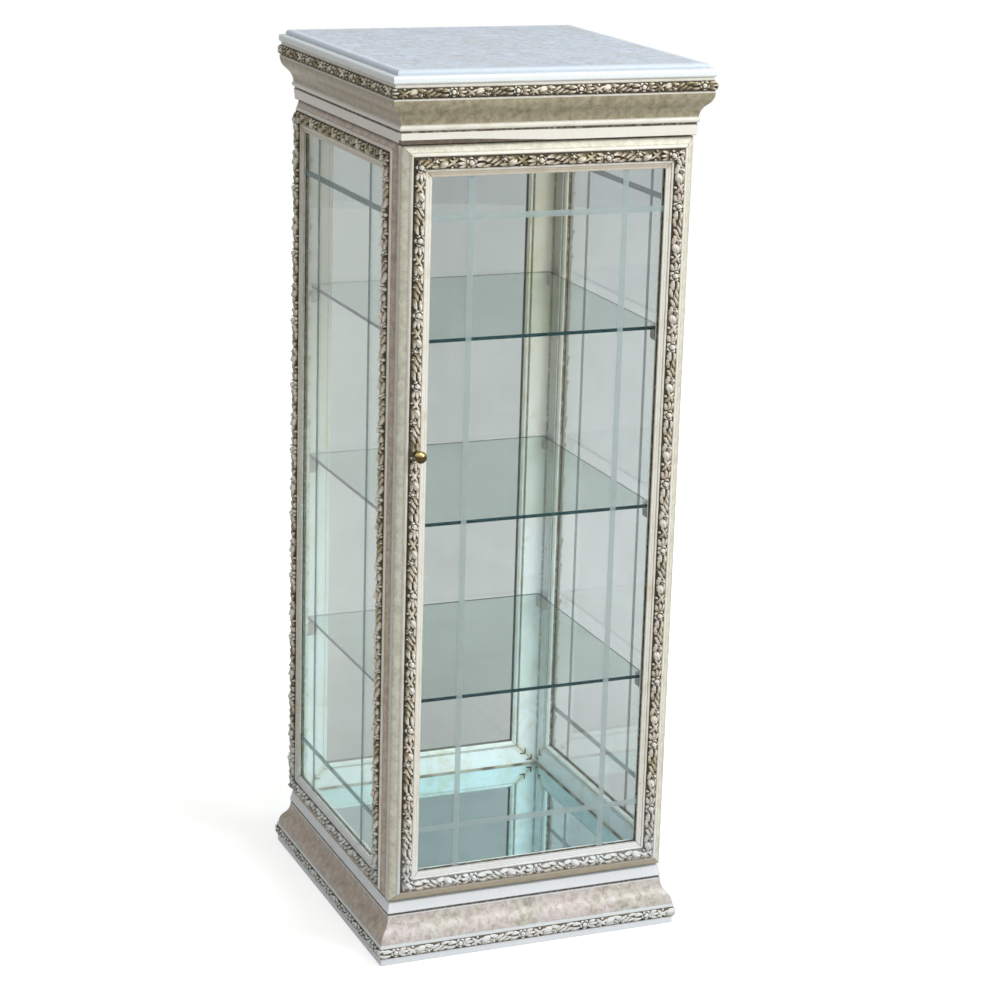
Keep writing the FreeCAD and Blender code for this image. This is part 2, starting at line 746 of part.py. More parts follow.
def catch(door_stile, side_stile):
    mid_x = f"catch_width / 2 - ({side_inside})"
    mid_z = f"{door_mid} + catch_rise"
    face_y = f"{side_front} + catch_setback"
    # Housing in its own frame: X off the side frame, Y into the cabinet
    housing = new_body("catch_housing")
    sketch = sketch_on(housing, "XY_Plane")
    box_outline(sketch, "0", "catch_width", "0", "catch_depth")
    pad(housing, sketch, "catch_height", symmetric=True)
    slot = sketch_on(housing, "XY_Plane")
    box_outline(slot, "(catch_width - magnet_width) / 2", "(catch_width + magnet_width) / 2",
                "-overrun", "magnet_depth")
    cut(housing, slot, "magnet_height / 2")
    put(housing, f"-({side_inside})", face_y, mid_z)
    magnet = block("catch_magnet",
                   (f"{mid_x} - magnet_width / 2 + magnet_clear", f"{face_y} - magnet_proud",
                    f"{mid_z} - magnet_height / 2 + magnet_clear"),
                   (f"{mid_x} + magnet_width / 2 - magnet_clear", f"{face_y} + magnet_depth",
                    f"{mid_z} + magnet_height / 2 - magnet_clear"))
    strike = new_body("strike_plate")
    plate = sketch_on(strike, "XZ_Plane")
    box_outline(plate, "-strike_width / 2", "strike_width / 2", "-strike_height / 2", "strike_height / 2")
    feature = pad(strike, plate, "strike_thick")
    feature.Reversed = True
    put(strike, mid_x, door_back, mid_z)
    hole(strike, "XZ_Plane", "0", "0", "0", "screw_radius + screw_clear", "2 * strike_thick")
    hole(strike, "XZ_Plane", "-strike_thick", "0", "0", "screw_head_radius + screw_clear", "screw_head_thick")
    hole(door_stile, "XZ_Plane", "edge_thick", f"{mid_x} + ({door_width}) / 2",
         "-catch_rise", "screw_radius + screw_clear", "screw_length")
    strike_screw = screw([mid_x, f"{door_back} + strike_thick", mid_z], back)
    # The housing's screws lie in its two ends and enter the side frame's front stile
    screws = []
    for spot in ("catch_screw_spacing / 2", "-catch_screw_spacing / 2"):
        hole(housing, "YZ_Plane", "0", "catch_depth / 2", spot,
             "screw_radius + screw_clear", "2 * catch_width")
        hole(housing, "YZ_Plane", "catch_width", "catch_depth / 2", spot,
             "screw_head_radius + screw_clear", "catch_width - screw_length / 2")
        hole(side_stile, "XZ_Plane", "edge_thick", "catch_setback + catch_depth / 2",
             f"{mid_z} + {spot} - ({frame_mid})", "screw_radius + screw_clear", "screw_length")
        screws.append(screw([f"screw_length / 2 + screw_head_thick - ({side_inside})",
                             f"{face_y} + catch_depth / 2", f"{mid_z} + {spot}"], right))
    keep(housing, "catch_housing")
    keep(magnet, "catch_magnet")
    keep(strike, "strike_plate")
    return screws, [strike_screw]


def support(toward, place):
    # Small block against a side frame, its lower inner corner rounded
    body = new_body("Support")
    sketch = sketch_on(body, "XZ_Plane")
    outline(sketch, [
        ("0", "0"),
        ("0", "-support_height"),
        ("support_reach - support_round", "-support_height"),
        ("support_reach", "support_round - support_height", "x", "support_reach - support_round", True),
        ("support_reach", "0")])
    pad(body, sketch, "support_width", symmetric=True)
    flip = 180 if toward == left else 0
    body.Placement = FreeCAD.Placement(FreeCAD.Vector(), FreeCAD.Rotation(FreeCAD.Vector(*up), flip))
    put(body, *place)
    return body


def shelves():
    half_x = f"{side_inside} - shelf_side_clear"
    near = f"{side_front} + shelf_front_clear"
    far = f"{back_inside} - shelf_back_clear"
    rows = (f"{side_front} + support_front_inset + support_width / 2",
            f"{back_inside} - support_back_inset - support_width / 2")
    supports = []
    for name in ("upper_shelf", "middle_shelf", "lower_shelf"):
        top = f"{floor_z} + {name}_top"
        plate = block(name, (f"-({half_x})", near, f"{top} - shelf_thick"), (half_x, far, top))
        keep(plate, name)
        for y in rows:
            seat = f"{top} - shelf_thick - shelf_seat_gap"
            supports.append(support(right, [f"-({side_inside})", y, seat]))
            supports.append(support(left, [side_inside, y, seat]))
    group("shelf_supports", supports)


def mirror():
    half_x = f"{side_inside} - mirror_clear"
    thing = block("floor_mirror",
                  (f"-({half_x})", f"{side_front} + mirror_clear", floor_z),
                  (half_x, f"{back_inside} - mirror_clear", f"{floor_z} + mirror_thick"))
    keep(thing, "floor_mirror")


base()
cornice()
blocks()
mirror()
side_stiles = ("front_stile", "back_stile")
left_bars, _ = moulded_frame("left", side_stiles, back, left, side_depth, "frame_height",
                             [f"-{side_plane}", side_mid, frame_mid])
right_bars, _ = moulded_frame("right", side_stiles, back, right, side_depth, "frame_height",
                              [side_plane, side_mid, frame_mid])
moulded_frame("back", ("left_stile", "right_stile"), right, back, f"2 * ({side_inside})",
              "frame_height", ["0", back_plane, frame_mid])
door_bars, door_trim = moulded_frame("door", ("knob_stile", "hinge_stile"), right, front,
                                     door_width, door_height, ["0", door_plane, door_mid])
frame_screws, door_screws = hinges(door_bars["hinge_stile"], right_bars["front_stile"])
knob(door_bars["knob_stile"], door_trim["knob_stile"])
housing_screws, strike_screws = catch(door_bars["knob_stile"], left_bars["front_stile"])
group("frame_screws", frame_screws + housing_screws)
group("door_screws", door_screws + strike_screws)
shelves()
doc.recompute()

faults = [o.Name for o in doc.Objects if "Invalid" in o.State or "Error" in o.State]
faults += [p.Label for p in pieces if p.Shape.isNull() or not p.Shape.isValid()]
if faults:
    raise RuntimeError("failed objects: " + ", ".join(faults))

os.makedirs("parts", exist_ok=True)
for piece in pieces:
    piece.Shape.exportStep(f"parts/{piece.Label}.step")
    solids = piece.Shape.Solids
    print(f"{piece.Label}: {len(solids)} solids, {sum(s.Volume for s in solids):.0f} mm3")
print(len(pieces), "nodes")
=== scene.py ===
import math

import bpy
import numpy as np
from mathutils import Matrix, Vector


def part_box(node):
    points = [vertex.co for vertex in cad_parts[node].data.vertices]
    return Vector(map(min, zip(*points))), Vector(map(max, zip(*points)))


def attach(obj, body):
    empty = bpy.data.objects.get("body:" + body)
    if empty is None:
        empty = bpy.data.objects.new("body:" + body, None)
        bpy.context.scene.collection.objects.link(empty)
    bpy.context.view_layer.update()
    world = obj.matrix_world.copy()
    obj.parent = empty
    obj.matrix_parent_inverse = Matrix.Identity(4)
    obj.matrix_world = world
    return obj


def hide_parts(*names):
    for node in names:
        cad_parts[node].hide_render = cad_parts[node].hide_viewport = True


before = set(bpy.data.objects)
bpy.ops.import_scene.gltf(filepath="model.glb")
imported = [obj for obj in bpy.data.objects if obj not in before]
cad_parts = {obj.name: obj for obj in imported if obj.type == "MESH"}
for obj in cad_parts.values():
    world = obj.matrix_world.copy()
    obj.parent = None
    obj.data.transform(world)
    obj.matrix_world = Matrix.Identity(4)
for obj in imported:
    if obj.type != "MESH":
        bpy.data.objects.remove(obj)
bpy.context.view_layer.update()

mm = 0.001
print("frame loaded:", len(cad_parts), "nodes")


# small helpers for shader trees

def feed(socket, value):
    if isinstance(value, bpy.types.NodeSocket):
        socket.id_data.links.new(value, socket)
    elif socket.type == "RGBA" and len(value) == 3:
        socket.default_value = (*value, 1.0)
    else:
        socket.default_value = value


def node(kind, given, tree=None, **settings):  # a new node's outputs. given: inputs by name or number
    if tree is None:  # the tree of the first socket that is handed in
        tree = next(value.id_data for value in given.values() if isinstance(value, bpy.types.NodeSocket))
    made = tree.nodes.new(f"ShaderNode{kind}")
    for key, value in settings.items():
        setattr(made, key, value)
    for key, value in given.items():
        feed(made.inputs[key], value)
    return made.outputs


def calc(operation, *values):
    return node("Math", dict(enumerate(values)), operation=operation)[0]


def times(first, second):
    return calc("MULTIPLY", first, second)


def less(first, second):
    return calc("SUBTRACT", first, second)


def line(value, slope, start):  # value x slope + start
    return calc("MULTIPLY_ADD", value, slope, start)


def step(value, low, high):  # smooth 0 to 1 between low and high
    given = {"Value": value, "From Min": low, "From Max": high}
    return node("MapRange", given, interpolation_type="SMOOTHSTEP")["Result"]


def mixColour(amount, first, second, mode="MIX"):
    given = {0: amount, 6: first, 7: second}  # the sockets that a colour mix uses
    return node("Mix", given, data_type="RGBA", blend_type=mode)[2]


def glaze(mask, strength, under, over):  # one colour over another, as strong as strength where the mask is 1
    return mixColour(times(mask, strength), under, over)


def tinted(colour, tint):
    return mixColour(1.0, colour, tint, "MULTIPLY")


def dimmed(colour, share):
    return tuple(share * c for c in colour)


def ramp(amount, stops):  # colour ramp from (place, colour or grey) pairs
    made = amount.id_data.nodes.new("ShaderNodeValToRGB")
    elements = made.color_ramp.elements
    while len(elements) < len(stops):
        elements.new(1.0)
    for element, (place, colour) in zip(elements, stops):
        element.position = place
        element.color = (colour,) * 3 + (1.0,) if isinstance(colour, (int, float)) else (*colour, 1.0)
    feed(made.inputs["Fac"], amount)
    return made.outputs["Color"]


def cloud(vector, scale, detail=4.0, rough=0.55, bend=0.0):  # noise, about one lump per 1/scale metre
    given = {"Vector": vector, "Scale": scale, "Detail": detail, "Roughness": rough, "Distortion": bend}
    return node("TexNoise", given)["Fac"]


def stretched(vector, sizes):  # a vector with its axes scaled
    return node("VectorMath", {0: vector, 1: sizes}, operation="MULTIPLY")[0]


def bump(height, strength, distance):
    return node("Bump", {"Height": height, "Strength": strength, "Distance": distance})["Normal"]


def startGroup(name, wanted, given):  # wanted: (name, socket type, start value). given: (name, socket type)
    group = bpy.data.node_groups.new(name, "ShaderNodeTree")
    for label, kind, value in wanted:
        socket = group.interface.new_socket(label, in_out="INPUT", socket_type=kind)
        if value is not None:
            socket.default_value = value
    for label, kind in given:
        group.interface.new_socket(label, in_out="OUTPUT", socket_type=kind)
    return group, group.nodes.new("NodeGroupInput").outputs, group.nodes.new("NodeGroupOutput").inputs


def useGroup(group, **values):
    return node("Group", values, node_tree=group)


def newFinish(name):
    material = bpy.data.materials.new(name)
    material.use_nodes = True
    tree = material.node_tree
    shader = next(n for n in tree.nodes if n.type == "BSDF_PRINCIPLED")
    return material, shader, node("TexCoord", {}, tree)["Object"]


def lay(shader, colour, rough, normal=None):  # the inputs that nearly every finish drives
    feed(shader.inputs["Base Color"], colour)
    feed(shader.inputs["Roughness"], rough)
    if normal is not None:
        feed(shader.inputs["Normal"], normal)


def axesOf(spot):  # object coordinates in millimetres
    return node("SeparateXYZ", {0: stretched(spot, (1 / mm,) * 3)})


def dress(material, *names):
    for name in names:
        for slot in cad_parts[name].material_slots:
            slot.material = material


# effects that several finishes share

vec, num, col = "NodeSocketVector", "NodeSocketFloat", "NodeSocketColor"
paintOutputs = [("Color", col), ("Roughness", num), ("Height", num)]
marbling = {
    "rose": [(0.32, (0.47, 0.40, 0.36)), (0.43, (0.60, 0.52, 0.47)), (0.50, (0.67, 0.60, 0.55)),
             (0.58, (0.73, 0.68, 0.63)), (0.68, (0.79, 0.76, 0.71))],
    "olive": [(0.34, (0.38, 0.36, 0.28)), (0.44, (0.53, 0.50, 0.41)), (0.52, (0.63, 0.60, 0.51)),
              (0.60, (0.71, 0.69, 0.61)), (0.70, (0.77, 0.76, 0.70))],
    "fleck": (0.24, 0.20, 0.15), "speck": (0.9, 0.86, 0.78), "pale": (0.82, 0.80, 0.73)}


def marbledGroup():  # sponged paint: patches of cream, rose and grey-olive with fine dark flecks
    tree, enter, leave = startGroup("marbledPaint", [
        ("Spot", vec, None), ("Rose", num, 0.5), ("Pale", num, 0.0), ("Tint", col, (1, 1, 1, 1))], paintOutputs)
    spot = enter["Spot"]
    broad = cloud(spot, 24.0, 3.0, 0.5, 0.3)
    patch = cloud(spot, 92.0, 6.0, 0.66, 0.4)
    fleck = cloud(spot, 270.0, 3.0, 0.6, 0.2)
    grain = cloud(spot, 900.0, 2.0)
    warm, cool = (ramp(patch, marbling[k]) for k in ("rose", "olive"))
    rosy = step(calc("ADD", broad, less(enter["Rose"], 0.5)), 0.38, 0.60)
    paint = mixColour(rosy, cool, warm)
    spots = times(step(fleck, 0.55, 0.68), step(patch, 0.60, 0.42))
    paint = glaze(spots, 0.42, paint, marbling["fleck"])
    paint = glaze(step(grain, 0.35, 0.75), 0.12, paint, marbling["speck"])
    paint = mixColour(enter["Pale"], paint, marbling["pale"])
    feed(leave["Color"], tinted(paint, enter["Tint"]))
    feed(leave["Roughness"], line(patch, 0.25, 0.30))
    feed(leave["Height"], calc("ADD", times(fleck, 0.5), grain))
    return tree


ageing = dict(paint=(0.8, 0.78, 0.71, 1), stain=(0.55, 0.45, 0.26, 1), streak=(0.45, 0.40, 0.30),
              chip=(0.30, 0.22, 0.13))


def agedGroup():  # plain paint gone yellow in patches, with brush streaks and a few chips
    tree, enter, leave = startGroup("agedPaint", [
        ("Spot", vec, None), ("Paint", col, ageing["paint"]), ("Stain", col, ageing["stain"]), ("Age", num, 0.4)],
        paintOutputs)
    spot, age = enter["Spot"], enter["Age"]
    patch = cloud(spot, 22.0, 5.0, 0.62, 0.8)
    streak = cloud(stretched(spot, (1.0, 1.0, 0.12)), 320.0, 3.0)
    chip = cloud(spot, 210.0, 2.0, 0.5, 0.5)
    paint = glaze(step(patch, 0.46, 0.74), age, enter["Paint"], enter["Stain"])
    paint = glaze(step(streak, 0.5, 0.8), 0.10, paint, ageing["streak"])
    chips = times(step(chip, 0.70, 0.76), times(age, 0.7))
    feed(leave["Color"], mixColour(chips, paint, ageing["chip"]))
    feed(leave["Roughness"], line(streak, 0.22, 0.30))
    feed(leave["Height"], less(times(streak, 0.4), chips))
    return tree


def wanderGroup():  # lets painted lines wander and break: a shift in millimetres and a strength
    tree, enter, leave = startGroup("wanderingLine", [("Spot", vec, None)], [("Shift", num), ("Strength", num)])
    slow = cloud(enter["Spot"], 55.0, 3.0, 0.6)
    quick = cloud(enter["Spot"], 170.0, 3.0, 0.6)
    feed(leave["Shift"], line(slow, 1.6, -0.8))
    feed(leave["Strength"], step(quick, 0.28, 0.56))
    return tree


def sectionGroup():  # how far in from a frame's outer edge a point lies, and the mitre seams
    tree, enter, leave = startGroup(
        "frameSection", [("Across", num, 0.0), ("Up", num, 0.0), ("Half Across", num, 1.0), ("Half Up", num, 1.0)],
        [("Inward", num), ("Seam", num), ("Near Seam", num)])
    aside, above = (less(enter[f"Half {way}"], calc("ABSOLUTE", enter[way])) for way in ("Across", "Up"))
    feed(leave["Inward"], calc("MINIMUM", aside, above))
    apart = calc("ABSOLUTE", less(aside, above))
    feed(leave["Seam"], step(apart, 0.9, 0.3))
    feed(leave["Near Seam"], step(apart, 14.0, 2.0))
    return tree


marbled, aged, wander, section = marbledGroup(), agedGroup(), wanderGroup(), sectionGroup()
print("shared effects ready")


# meshes from whole arrays

def makePiece(name, points, faces, body, slot, smooth=True, marks=None):
    # points: n x 3 in millimetres. faces: index arrays, one row per face. marks: values per point.
    mesh = bpy.data.meshes.new(name)
    sides = np.concatenate([np.full(len(f), f.shape[1]) for f in faces])
    mesh.vertices.add(len(points))
    mesh.vertices.foreach_set("co", (points * mm).astype(np.float32).ravel())
    mesh.loops.add(int(sides.sum()))
    mesh.loops.foreach_set("vertex_index", np.concatenate([f.ravel() for f in faces]).astype(np.int32))
    mesh.polygons.add(len(sides))
    mesh.polygons.foreach_set("loop_start", (np.cumsum(sides) - sides).astype(np.int32))
    mesh.polygons.foreach_set("use_smooth", np.full(len(sides), smooth))
    for label, values in (marks or {}).items():
        mesh.attributes.new(label, "FLOAT", "POINT").data.foreach_set("value", values.astype(np.float32).ravel())
    mesh.update(calc_edges=True)
    piece = bpy.data.objects.new(name, mesh)
    bpy.context.scene.collection.objects.link(piece)
    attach(piece, body)
    return piece


def tubeFaces(rows, loop, closed=False):  # quads between rows of closed loops, with a fan on each open end
    first = np.arange(rows if closed else rows - 1)[:, None] * loop
    here = np.arange(loop)[None, :]
    nextRow = (first + loop) % (rows * loop)
    nextSpot = (here + 1) % loop
    quads = np.stack([first + here, first + nextSpot, nextRow + nextSpot, nextRow + here], -1).reshape(-1, 4)
    if closed:
        return [quads]
    fan = np.stack([np.zeros(loop - 2, int), np.arange(2, loop), np.arange(1, loop - 1)], -1)
    return [quads, np.concatenate([fan, fan[:, ::-1] + (rows - 1) * loop])]


def outward(points, faces):  # turns every face round where the shell's volume comes out negative
    inside = 0.0
    for f in faces:
        for k in range(1, f.shape[1] - 1):
            inside += np.einsum("ij,ij->", points[f[:, 0]], np.cross(points[f[:, k]], points[f[:, k + 1]]))
    return faces if inside > 0 else [f[:, ::-1] for f in faces]


def joined(parts):  # several shells as one set of points and faces
    points, quads, tris, start = [], [], [], 0
    for shell, faces in parts:
        for f in outward(shell, faces):
            (quads if f.shape[1] == 4 else tris).append(f + start)
        points.append(shell)
        start += len(shell)
    return np.concatenate(points), [np.concatenate(f) for f in (quads, tris) if f]


def carriedRound(size, d, z):  # a section carried round four sides, mitred: d out from the rectangle, z up
    corners = np.array([(-1, 0), (1, 0), (1, 1), (-1, 1)])
    x = corners[:, :1] * (size["halfX"] + d)
    y = np.where(corners[:, 1:] > 0, size["back"] + d, size["front"] - d)
    points = np.stack([x, y, np.broadcast_to(z, x.shape)], -1).reshape(-1, 3)
    return joined([(points, tubeFaces(4, len(d), closed=True))])


# the four glazed frames: middle of the outer-edge plane, sizes over the outer edges, looks of the paint

# Per bar, the carving is darkened or lightened and its outer side darkened: painted shade and light, with some dirt.
fixed = dict(body="cabinet", high=1085.0, grimeAndShade=(0.05, 0.05, 0.16, 0.05), dirtAndShade=-0.12, rose=0.62, pale=0.0,
             # rim darkens the paint towards the outer edge: a stain, with painted shade there
             rim=((0.0, 0.9), (0.9, 0.6), (2.2, 0.1), (5.0, 0.0)))
side = dict(fixed, across=(0, 1, 0), wide=427.0, bars=("front_stile", "back_stile", "top_rail", "bottom_rail"))
frames = {
    "door": dict(body="door", middle=(0, -220.5, 630.0), across=(1, 0, 0), out=(0, -1, 0), wide=426.4, high=1080.0,
                 bars=("knob_stile", "hinge_stile", "top_rail", "bottom_rail"), phase=18.0,
                 grimeAndShade=(0.0, -0.02, 0.10, -0.10), dirtAndShade=0.34, rose=0.22, pale=0.40, tint=(1.06, 1.09, 1.04),
                 rim=((0.0, 0.5), (0.8, 0.28), (3.0, 0.10), (6.0, 0.0))),
    # The side and back frames' tints make their paint browner and darker than the door's, the left's most: painted
    # shade on the sides, over a browner paint.
    "left": dict(side, middle=(-210, 7, 629.5), out=(-1, 0, 0), phase=47.0, tint=(0.85, 0.79, 0.71)),
    "right": dict(side, middle=(210, 7, 629.5), out=(1, 0, 0), phase=73.0, tint=(0.90, 0.85, 0.78)),
    "back": dict(fixed, middle=(0, 220.5, 629.5), across=(1, 0, 0), out=(0, 1, 0), wide=396.0,
                 bars=("left_stile", "right_stile", "top_rail", "bottom_rail"), phase=5.0, tint=(0.90, 0.85, 0.78))}


def onFrame(place, across, up, rise):  # frame coordinates to the cabinet's, for arrays
    middle, sideways, out = (np.array(place[k], float) for k in ("middle", "across", "out"))
    return middle + across[..., None] * sideways + up[..., None] * np.array([0, 0, 1.0]) + rise[..., None] * out


# carved foliage: a height field of flowers, buds and leaves over the strip

foliage = {
    "repeat": 99.0, "grid": 0.85, "rows": 21, "half": 7.5, "ground": 0.24, "crownHalf": 1.06, "crownPower": 0.42,
    "flowers": [  # along, across, radius, lift, turn
        (0.0, 0.7, 7.8, 1.00, 0.3), (51.0, -3.0, 4.6, 0.86, 1.1)],
    "leaves": [  # from, to, width, bend, lift, gilding
        ((6.5, -2.0), (17.0, -5.0), 5.0, 0.20, 0.92, 0.0), ((7.0, 0.6), (19.0, 1.0), 4.6, 0.05, 0.98, 0.0),
        ((6.5, 3.4), (16.5, 6.2), 5.0, -0.20, 0.90, 0.0), ((17.0, -5.6), (34.0, 4.0), 4.8, 0.20, 0.92, 0.5),
        ((18.0, 5.8), (32.0, -5.2), 4.6, -0.20, 0.84, 0.7), ((32.0, -5.6), (47.0, -4.4), 5.0, -0.25, 0.84, 0.2),
        ((45.0, 5.8), (58.0, 4.2), 5.6, 0.25, 0.92, 0.1), ((54.0, -1.0), (67.0, 5.6), 5.0, 0.20, 0.90, 0.4),
        ((57.0, -5.4), (71.0, 1.6), 5.0, 0.20, 0.88, 0.8), ((65.0, -5.8), (79.0, -0.6), 5.0, 0.20, 0.84, 0.9),
        ((69.0, 3.2), (82.0, 6.2), 4.8, -0.20, 0.82, 0.6), ((76.0, -4.8), (91.0, -2.6), 6.2, 0.25, 0.94, 0.0),
        ((79.0, 3.0), (93.0, 3.4), 6.4, -0.20, 0.96, 0.0)],
    "buds": [  # along, across, half length, half width, turn, lift
        (39.5, 1.8, 7.6, 4.7, 0.30, 1.00)],
    "berries": [(27.0, 6.0, 1.9), (24.5, -6.0, 1.8), (62.0, -5.8, 1.6)]}  # along, across, radius


def wayFrom(along, middle):  # signed way from the nearest repeat of a place
    period = foliage["repeat"]
    return (along - middle + period / 2) % period - period / 2


def leafRise(along, across, leaf):
    # Pointed oval: height falls as the root of 1 - (q / span)^2, span narrows to both ends
    # and swells in lobes, a groove runs down the midrib and veins slant off it.
    (s0, w0), (s1, w1), width, bend, lift, _ = leaf
    half = math.hypot(s1 - s0, w1 - w0) / 2
    ca, sa = (s1 - s0) / (2 * half), (w1 - w0) / (2 * half)
    ds, dw = wayFrom(along, (s0 + s1) / 2), across - (w0 + w1) / 2
    p = (ds * ca + dw * sa) / half
    q = (dw * ca - ds * sa) / (width / 2) + bend * (1 - p * p)
    span = np.sqrt(np.clip(1 - p * p, 1e-6, 1)) * (1 - 0.28 * p) * (1 + 0.08 * np.sin(9 * p + 1))
    body = np.sqrt(np.clip(1 - (q / span) ** 2, 0, 1))
    veins = 0.04 * np.cos(14 * (p - 0.5 * np.abs(q)))
    return lift * body * (0.70 + 0.30 * p) * (1 - 0.22 * np.exp(-(q * 3.6) ** 2) + veins)


def flowerRise(along, across, flower):
    # Five cupped petals: the rim swings with cos 5a, a ring groove parts them from a domed eye.
    s0, w0, radius, lift, turn = flower
    ds, dw = wayFrom(along, s0), across - w0
    r, a = np.hypot(ds, dw) / radius, np.arctan2(dw, ds) + turn
    petal = np.sqrt(np.clip(1 - (r / (0.87 + 0.13 * np.cos(5 * a))) ** 6, 0, 1))
    crease = 1 - 0.45 * np.exp(-(np.cos(2.5 * a) / 0.28) ** 2)
    ring = 1 - 0.95 * np.exp(-((r - 0.55) / 0.13) ** 4)
    eye = np.sqrt(np.clip(1 - (r / 0.44) ** 2, 0, 1)) * (1 - 0.35 * np.exp(-(r / 0.14) ** 2))
    return lift * np.maximum(petal * crease * ring * 0.92, eye)


def budRise(along, across, bud):
    # Oval dome with two slanting folds cut into it.
    s0, w0, a, b, turn, lift = bud
    ds, dw = wayFrom(along, s0), across - w0
    p = (ds * math.cos(turn) + dw * math.sin(turn)) / a
    q = (dw * math.cos(turn) - ds * math.sin(turn)) / b
    dome = np.sqrt(np.clip(1 - p * p - q * q, 0, 1))
    folds = np.exp(-((q - 0.35 + 0.5 * p * p) / 0.13) ** 2) + np.exp(-((q + 0.42 - 0.4 * p) / 0.12) ** 2)
    return lift * dome * (1 - 0.30 * np.clip(folds, 0, 1))


def foliageRise(along, across):
    # Highest of all the leaves, buds, berries and flowers over a waving stem; also how gilded it is.
    along = along + 0.9 * np.sin(along / 37.0) + 0.6 * np.sin(along / 13.7 + 1.0)  # no two repeats alike
    rise = 0.42 * np.exp(-((across - 2.6 * np.sin(along * 4 * np.pi / foliage["repeat"])) / 0.9) ** 2)
    gilt = np.full(along.shape, 0.7)
    shapes = [(leafRise(along, across, leaf), leaf[5]) for leaf in foliage["leaves"]]
    shapes += [(budRise(along, across, bud), 0.05) for bud in foliage["buds"]]
    shapes += [(budRise(along, across, (s0, w0, r, r, 0.0, 0.8)), 0.3) for s0, w0, r in foliage["berries"]]
    shapes += [(flowerRise(along, across, flower), 0.0) for flower in foliage["flowers"]]
    for shape, tone in shapes:
        gilt = np.where(shape > rise, tone, gilt)
        rise = np.maximum(rise, shape)
    return np.clip(rise, 0, 1.1), gilt


def softened(values, rounds):  # each point becomes the mean of itself and its neighbours on the grid
    for _ in range(rounds):
        for axis in (0, 1):
            pad = np.concatenate([values.take([0], axis), values, values.take([-1], axis)], axis)
            values = (pad.take(range(0, pad.shape[axis] - 2), axis) + values
                      + pad.take(range(2, pad.shape[axis]), axis)) / 3
    return values


def carve(length, phase, scale=1.0):  # strip grid, t along and w across from -1 to 1, and its foliage
    t = np.linspace(-1, 1, int(length / foliage["grid"]))[:, None]
    w = np.linspace(-1, 1, foliage["rows"])[None, :] * np.ones_like(t)
    return t, w, lambda along: foliageRise(along / scale + phase, w * foliage["half"])


def relief(height, w, crest):  # foliage under a rounded crown, on a low ground
    crown = np.clip(1 - (w / foliage["crownHalf"]) ** 2, 0, 1) ** foliage["crownPower"]
    return crest * crown * (foliage["ground"] + (1 - foliage["ground"]) * np.clip(height, 0, 1))


def carveMarks(height, gilt, w, grimeAndShade, dirtAndShade):  # two values per point: how light the paint is, patina with painted shade and light, and how gilded
    hollow = height - softened(height, 4)
    outer = np.clip((-w - 0.40) / 0.60, 0, 1)  # darker on the outer side of the strip: painted shade, with some dirt
    # the per-strip value darkens strips under an overhang and lightens the lowest: painted shade and light, with some
    # dirt
    shade = np.clip(0.10 + 0.80 * height + 0.9 * hollow - dirtAndShade * outer - grimeAndShade, 0, 1)
    return shade, np.clip(gilt + 3.4 * grimeAndShade, 0, 1)


def closedStrip(top, foot, marks):  # relief rows with two foot points each make closed loops
    loops = np.concatenate([top, foot[:, ::-1]], 1)
    count, size = loops.shape[:2]
    full = [np.concatenate([m, np.zeros((count, 2))], 1) for m in marks]
    return loops.reshape(-1, 3), tubeFaces(count, size), full


def foliagePiece(name, body, strips):  # the strips as one piece, in place of the plain ornament
    points, faces = joined([(shell, shellFaces) for shell, shellFaces, _ in strips])
    carved, gilded = (np.concatenate([marks[k].ravel() for _, _, marks in strips]) for k in (0, 1))
    piece = makePiece(f"{name}Foliage", points, faces, body, "carved_ornament",
                      marks={"carved": carved, "gilded": gilded})
    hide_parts(f"{name}_ornament")
    piece.data.materials.append(carvedFinish)


# the carved strip on a bar in millimetres, and the flat seat under the knob with the rubbed place round it
strip = dict(inset=15.1, width=15.8, bed=7.5, crest=11.6, sunk=0.15, shift=31.0)
boss = dict(along=122.5, radius=8.2, slope=2.2, rise=10.2, rubbedAlong=129.0, rubbedReach=13.0)


def frameFoliage(name):
    # Each bar: u runs in from the outer edge, the ends follow the 45 degree mitre, |along| <= length / 2 - u
    place = frames[name]
    half, bed = strip["width"] / 2, strip["bed"]
    strips = []
    for index, bar in enumerate(place["bars"]):
        upright = index < 2
        length, reach = (place["high"], place["wide"]) if upright else (place["wide"], place["high"])
        sign = (-1, 1, 1, -1)[index]  # which side of the middle the bar stands on
        t, w, rise = carve(length, place["phase"] + strip["shift"] * index)
        u = strip["inset"] + (w + 1) * strip["width"] / 2
        along = t * (length / 2 - u)
        height, gilt = rise(-along if index != 1 else along)
        shade, gilt = carveMarks(height, gilt, w, place["grimeAndShade"][index], place["dirtAndShade"])
        lift = bed + relief(height, w, strip["crest"])
        if bar == "knob_stile":  # a flat boss under the knob, rubbed brown
            r = np.hypot(along - boss["along"], w * half)
            flat = np.clip((boss["radius"] - r) / boss["slope"], 0, 1)
            lift = lift * (1 - flat) + (bed + boss["rise"]) * flat
            rubbed = np.exp(-((along - boss["rubbedAlong"]) / boss["rubbedReach"]) ** 2)
            shade = np.clip(shade * (1 - 0.62 * rubbed) + 0.10 * rubbed, 0, 1)
            gilt = np.maximum(gilt, rubbed)
        ends = u[:, [0, -1]]
        low = np.full(ends.shape, bed - strip["sunk"])
        order = (lambda a, b: (b, a)) if upright else (lambda a, b: (a, b))
        top = onFrame(place, *order(along, sign * (reach / 2 - u)), lift)
        foot = onFrame(place, *order(t * (length / 2 - ends), sign * (reach / 2 - ends)), low)
        strips.append(closedStrip(top, foot, (shade, gilt)))
    foliagePiece(name, place["body"], strips)


